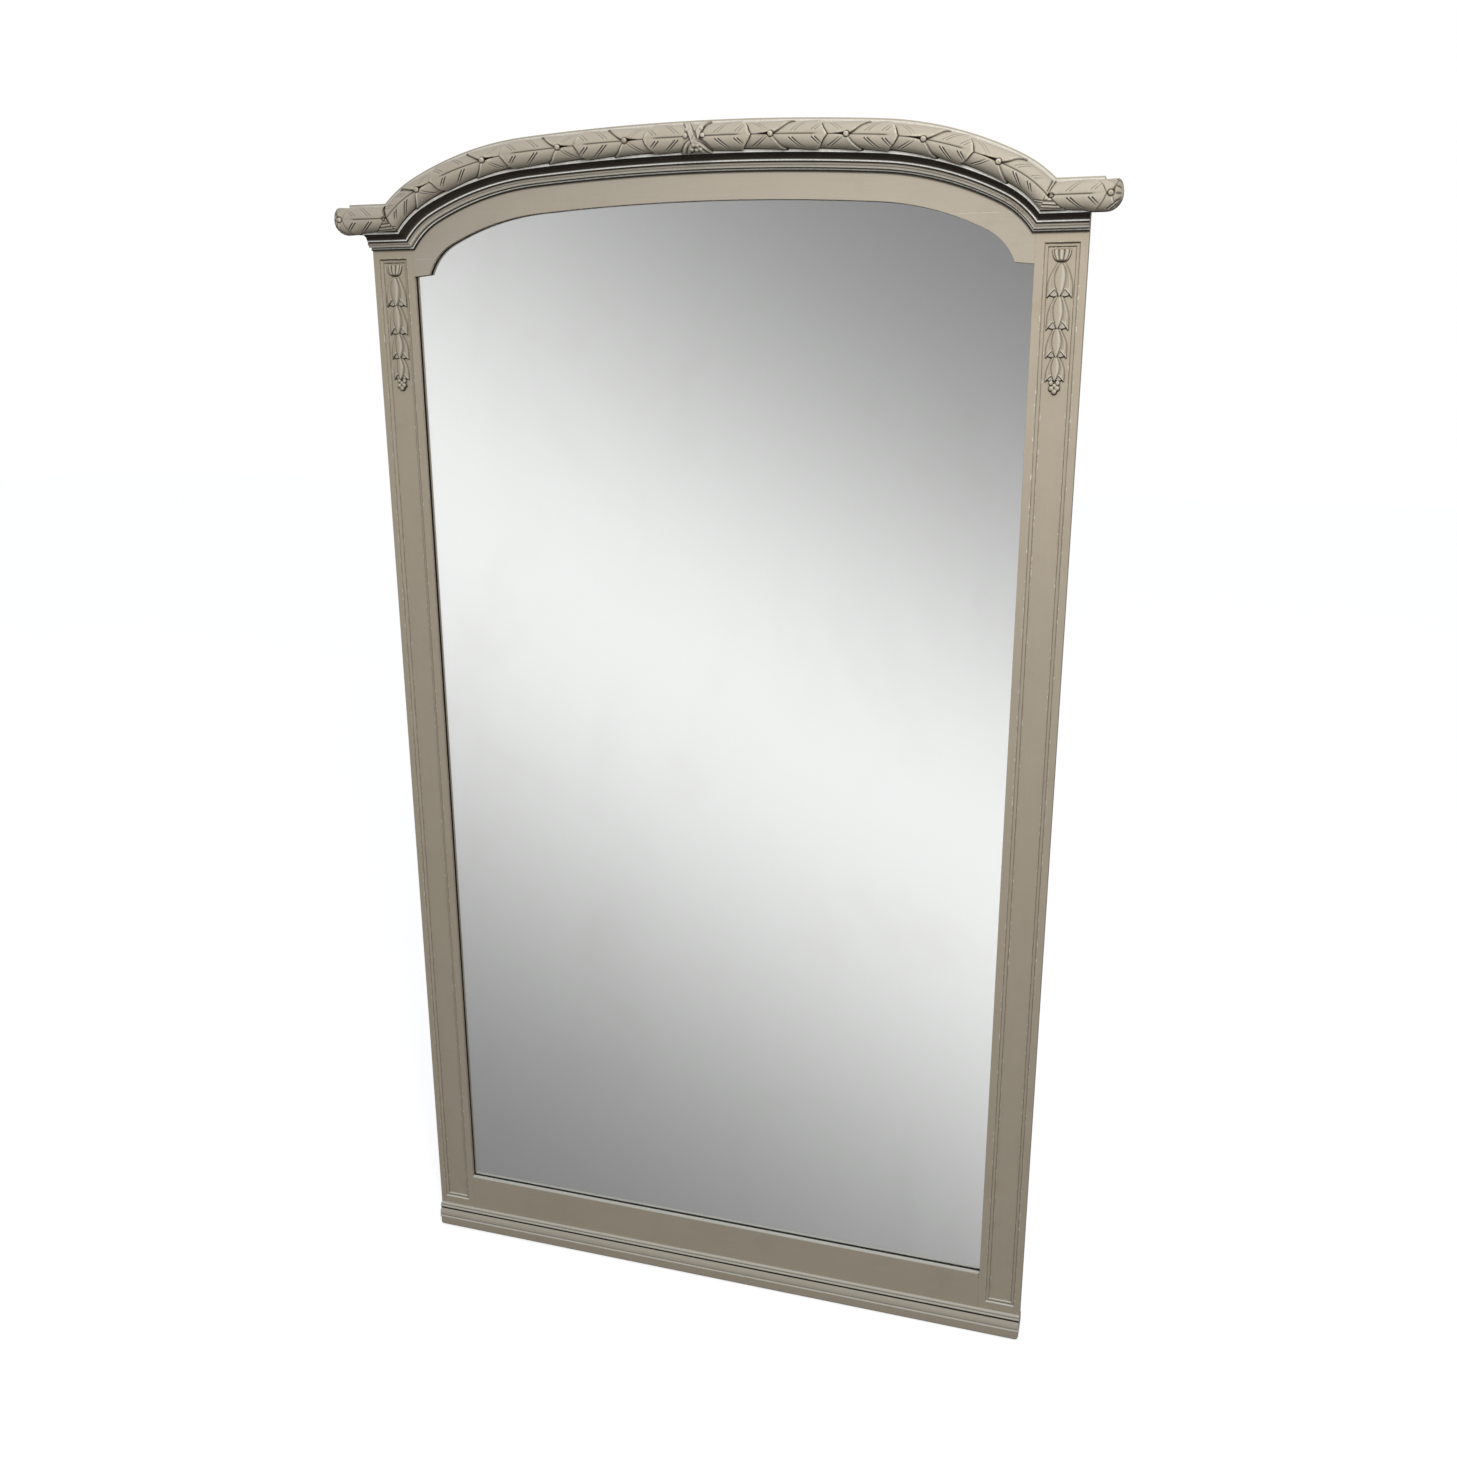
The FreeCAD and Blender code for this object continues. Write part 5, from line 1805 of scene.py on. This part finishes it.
@dataclass
class FrontFrame:
    """Painted boards of the front, their joints, and the base."""

    joint_x: float = 434.4
    seams: dict[Side, float] = field(default_factory=lambda: {Side.LEFT: 1607.4, Side.RIGHT: 1645.4})
    # Painted highlight on the rail's ledge arris; painted shade in the base's groove and quirks; painted
    # highlights on the base's ledges and ovolo, and its worn lower arris.
    rail_shine: tuple[Triple, ...] = ((99.6, 102.4, 0.9),)
    base_shade: tuple[Triple, ...] = (
        (29.2, 33.0, 1.0), (36.1, 36.8, 0.6), (17.7, 18.4, 0.55))
    base_sheen_and_wear: tuple[Triple, ...] = (
        (37.2, 39.6, 0.62), (33.6, 35.9, 0.55), (19.0, 28.6, 0.24), (15.7, 16.9, 0.75))

    def dress(self) -> None:
        """Paint every board with its own run of brush marks."""
        for side, shift in ((Side.LEFT, 0.3), (Side.RIGHT, 0.0)):
            dress(side.part("stile"), Paint(side.part("stile_paint"), Grain.UPRIGHT, sinking=Sinking(),
                                            painted_shade=0.25, shift=shift, alone=True))
            dress(side.part("haunch_block"), Paint(side.part("haunch_paint"), seam_level=self.seams[side],
                                                   painted_shade=0.25, colour=UPPER_COLOUR, alone=True))
        # The rail's upward ledge takes a stronger painted highlight.
        dress("bottom_rail", Paint("bottom_rail_paint", joint_x=self.joint_x, ledge=0.95,
                                   pale_levels=self.rail_shine, alone=True))
        dress("arched_board", Paint("arched_board_paint", painted_shade=0.25, colour=UPPER_COLOUR, alone=True))
        dress("base_moulding", Paint("base_moulding_paint", shift=0.7, painted_shade=0.15,
                                     dark_levels=self.base_shade, pale_levels=self.base_sheen_and_wear))
        dress("base_plinth", Paint("base_plinth_paint", shift=0.9))
        dress("frame_dowels", EndGrain("dowel_wood"))
        dress("base_screws", Steel("base_screw_steel"))


@dataclass
class Crest:
    """Cornice and crest board behind the garland."""

    cornice_end: float = 500.0
    board_end: float = 516.0
    rub: Triple = (0.412, 1.655, 0.026)

    def build(self) -> None:
        """Run both mouldings."""
        Moulding("cornice", CORNICE, self.cornice_end, self.rub).build()
        Moulding("crest_board", CREST_BOARD, self.board_end).build()


@dataclass
class MirrorPlate:
    """Glass, its silvering and what it stands on."""

    gap: float = 0.00005

    def glass(self) -> bpy.types.Object:
        """The plate, a hair thinner than its node so that its back doesn't share the silvering's face.

        Returns:
            The plate.
        """
        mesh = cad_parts["mirror_glass"].data.copy()
        spots = np.empty(len(mesh.vertices) * 3)
        mesh.vertices.foreach_get("co", spots)
        depth = spots[1::3]
        front, rear = depth.min(), depth.max()
        spots[1::3] = front + (depth - front) * (rear - front - self.gap) / (rear - front)
        mesh.vertices.foreach_set("co", spots)
        mesh.materials.clear()
        mesh.materials.append(PlateGlass().material())
        made = stand("mirror_plate", mesh)
        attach(made, "frame")
        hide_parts("mirror_glass")
        return made

    def build(self) -> None:
        """Set the plate and finish its silvering and packing."""
        self.glass()
        dress("silvering", SilverCoat())
        dress("glass_blocks", Pine("glass_block_pine", Grain.UPRIGHT, 0.4))
        dress("setting_pads", Cork("setting_pad_cork"))


@dataclass
class PanelledBack:
    """Bare softwood back with its pegs, screws, pads and hangers."""

    upright: tuple[str, ...] = ("back_left_stile", "back_right_stile", "back_bottom_panel",
                                "back_middle_panel", "back_top_panel")
    level: tuple[str, ...] = ("back_top_rail", "back_upper_middle_rail", "back_lower_middle_rail",
                              "back_bottom_rail")

    def dress(self) -> None:
        """Finish every piece behind the frame."""
        for grain, nodes in ((Grain.UPRIGHT, self.upright), (Grain.LEVEL, self.level)):
            for number, node in enumerate(nodes):
                dress(node, Pine(node + "_pine", grain, 0.37 * number + 0.1))
        dress("back_pegs", EndGrain("peg_wood"))
        dress("back_screws", Steel("back_screw_steel"))
        dress("hanger_screws", Steel("hanger_screw_steel", age=0.3))
        dress("wall_pads", Cork("wall_pad_cork"))
        for side in Side:
            for part, tone, age in (("plate", 196, 0.35), ("ring", 200, 0.25)):
                zinc = Steel(side.part(part + "_zinc"), srgb(tone, tone + 2, tone + 2), age=age)
                dress(side.part("hanger_" + part), zinc)


# ---------------------------------------------------------------- studio

@dataclass
class Studio:
    """Camera, lamp, world and floor."""

    eye: Triple = (0.59864, -1.83228, 1.48969)
    right: Triple = (0.9548451, 0.29706497, -0.00482121)
    up: Triple = (-0.07722427, 0.26382337, 0.96147472)
    back: Triple = (0.28689241, -0.91768711, 0.27485108)
    lens: float = 33.31
    sensor: float = 36.0
    near: float = 0.01
    far: float = 100.0
    lamp_place: Triple = (0.62, -1.35, 2.25)
    lamp_aim: Triple = (0.2, 0.0, 1.45)
    lamp_size: float = 0.8
    lamp_watts: float = 23.4
    lamp_tint: Triple = (0.985, 0.987, 1.0)
    gloss_axis: Triple = (0.3979, -0.4392, 0.8055)
    gloss_low: float = 0.166
    gloss_gain: float = 0.691
    gloss_middle: float = 0.09
    gloss_width: float = 0.24
    gloss_level: float = 1.13
    floor_size: float = 24.0
    floor_tone: float = 0.9
    floor_glow: float = 0.44
    floor_dim: Colour = (0.35, 0.34, 0.33, 1.0)
    sky_low: float = 0.30
    sky_high: float = 0.66
    sky_tint: Colour = (0.97, 0.99, 1.03, 1.0)

    def camera(self) -> None:
        """Set the camera at the photographed angle."""
        data = bpy.data.cameras.new("camera")
        data.lens = self.lens
        data.sensor_width = self.sensor
        data.clip_start, data.clip_end = self.near, self.far
        made = stand("camera", data)
        columns = Matrix((self.right, self.up, self.back)).transposed().to_4x4()
        made.matrix_world = Matrix.Translation(self.eye) @ columns
        bpy.context.scene.camera = made

    def key_lamp(self) -> None:
        """Hang one soft area lamp that no reflection shows."""
        data = bpy.data.lights.new("key_lamp", "AREA")
        data.shape = "DISK"
        data.size = self.lamp_size
        data.energy = self.lamp_watts
        data.color = self.lamp_tint
        made = stand("key_lamp", data)
        made.location = self.lamp_place
        made.rotation_mode = "QUATERNION"
        way = Vector(self.lamp_aim) - Vector(self.lamp_place)
        made.rotation_quaternion = way.to_track_quat("-Z", "Y")
        made.visible_glossy = False

    def world(self) -> None:
        """White to the camera, a soft sky on the part, and a shaded room in its reflections."""
        made = bpy.data.worlds.new("studio")
        bpy.context.scene.world = made
        sheet = NodeSheet(made)
        way = sheet.node("ShaderNodeTexCoord", output="Generated")
        turned = sheet.node("ShaderNodeVectorMath", {"operation": "DOT_PRODUCT"},
                            {0: way, 1: self.gloss_axis}, "Value")
        apart = (turned - self.gloss_middle) / self.gloss_width
        bell = math.e ** (apart * apart * -1.0)
        room = (self.gloss_low + self.gloss_gain * bell) * self.gloss_level
        _, _, height = sheet.parts(way)
        sky = self.sky_low + (self.sky_high - self.sky_low) * sheet.step(height, -0.6, 0.9)
        path = sheet.node("ShaderNodeLightPath")
        outputs = path.socket.node.outputs
        camera, diffuse = (Wire(sheet, outputs["Is %s Ray" % kind]) for kind in ("Camera", "Diffuse"))
        strength = diffuse * sky + (1.0 - diffuse) * room
        strength = camera + (1.0 - camera) * strength
        tint = sheet.blend(diffuse * sheet.step(height, 0.0, 0.7), WHITE, self.sky_tint)
        light = sheet.node("ShaderNodeBackground", inputs={"Color": tint, "Strength": strength})
        sheet.node("ShaderNodeOutputWorld", inputs={0: light})

    def floor(self) -> None:
        """Pale floor that keeps the part's shadow and stays out of the mirror."""
        half = self.floor_size / 2
        mesh = bpy.data.meshes.new("floor")
        mesh.from_pydata([(-half, -half, 0), (half, -half, 0), (half, half, 0), (-half, half, 0)], [],
                         [(0, 1, 2, 3)])
        made = stand("floor", mesh)
        material = bpy.data.materials.new("pale_floor")
        sheet = NodeSheet(material)
        grain = sheet.noise(sheet.place(), 40.0, 3.0)
        tone = self.floor_tone + (grain - 0.5) * 0.02
        painted = sheet.node("ShaderNodeBsdfDiffuse", inputs={"Color": sheet.vector(tone, tone, tone)})
        white = sheet.node("ShaderNodeEmission", inputs={"Color": WHITE, "Strength": self.floor_glow})
        clear = sheet.node("ShaderNodeBsdfTransparent")
        dim = sheet.node("ShaderNodeBsdfDiffuse", inputs={"Color": self.floor_dim})
        path = sheet.node("ShaderNodeLightPath")
        outputs = path.socket.node.outputs
        camera, glossy, through = (Wire(sheet, outputs["Is %s Ray" % kind])
                                   for kind in ("Camera", "Glossy", "Transmission"))
        shown = sheet.node("ShaderNodeAddShader", inputs={0: painted, 1: white})
        mixed = sheet.node("ShaderNodeMixShader", inputs={0: camera, 1: dim, 2: shown})
        unseen = glossy.most(through)
        sheet.finish(sheet.node("ShaderNodeMixShader", inputs={0: unseen, 1: mixed, 2: clear}))
        mesh.materials.append(material)

    def build(self) -> None:
        """Set up everything around the part."""
        self.camera()
        self.key_lamp()
        self.world()
        self.floor()
        bpy.context.scene.view_settings.view_transform = "Standard"


# ---------------------------------------------------------------- the whole

def write_sizes() -> None:
    """Bring the scene's transforms up to date."""
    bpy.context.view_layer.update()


def main() -> None:
    """Build the pieces in order and report each one."""
    logging.basicConfig(level=logging.INFO, format="%(message)s")
    Studio().build()
    garland = Garland()
    garland.build()
    Berries().build(garland)
    CrossedRibbon().build()
    for side in Side:
        HuskDrop().build(side)
    FrontFrame().dress()
    Crest().build()
    MirrorPlate().build()
    PanelledBack().dress()
    write_sizes()


if __name__ == "__main__":
    main()
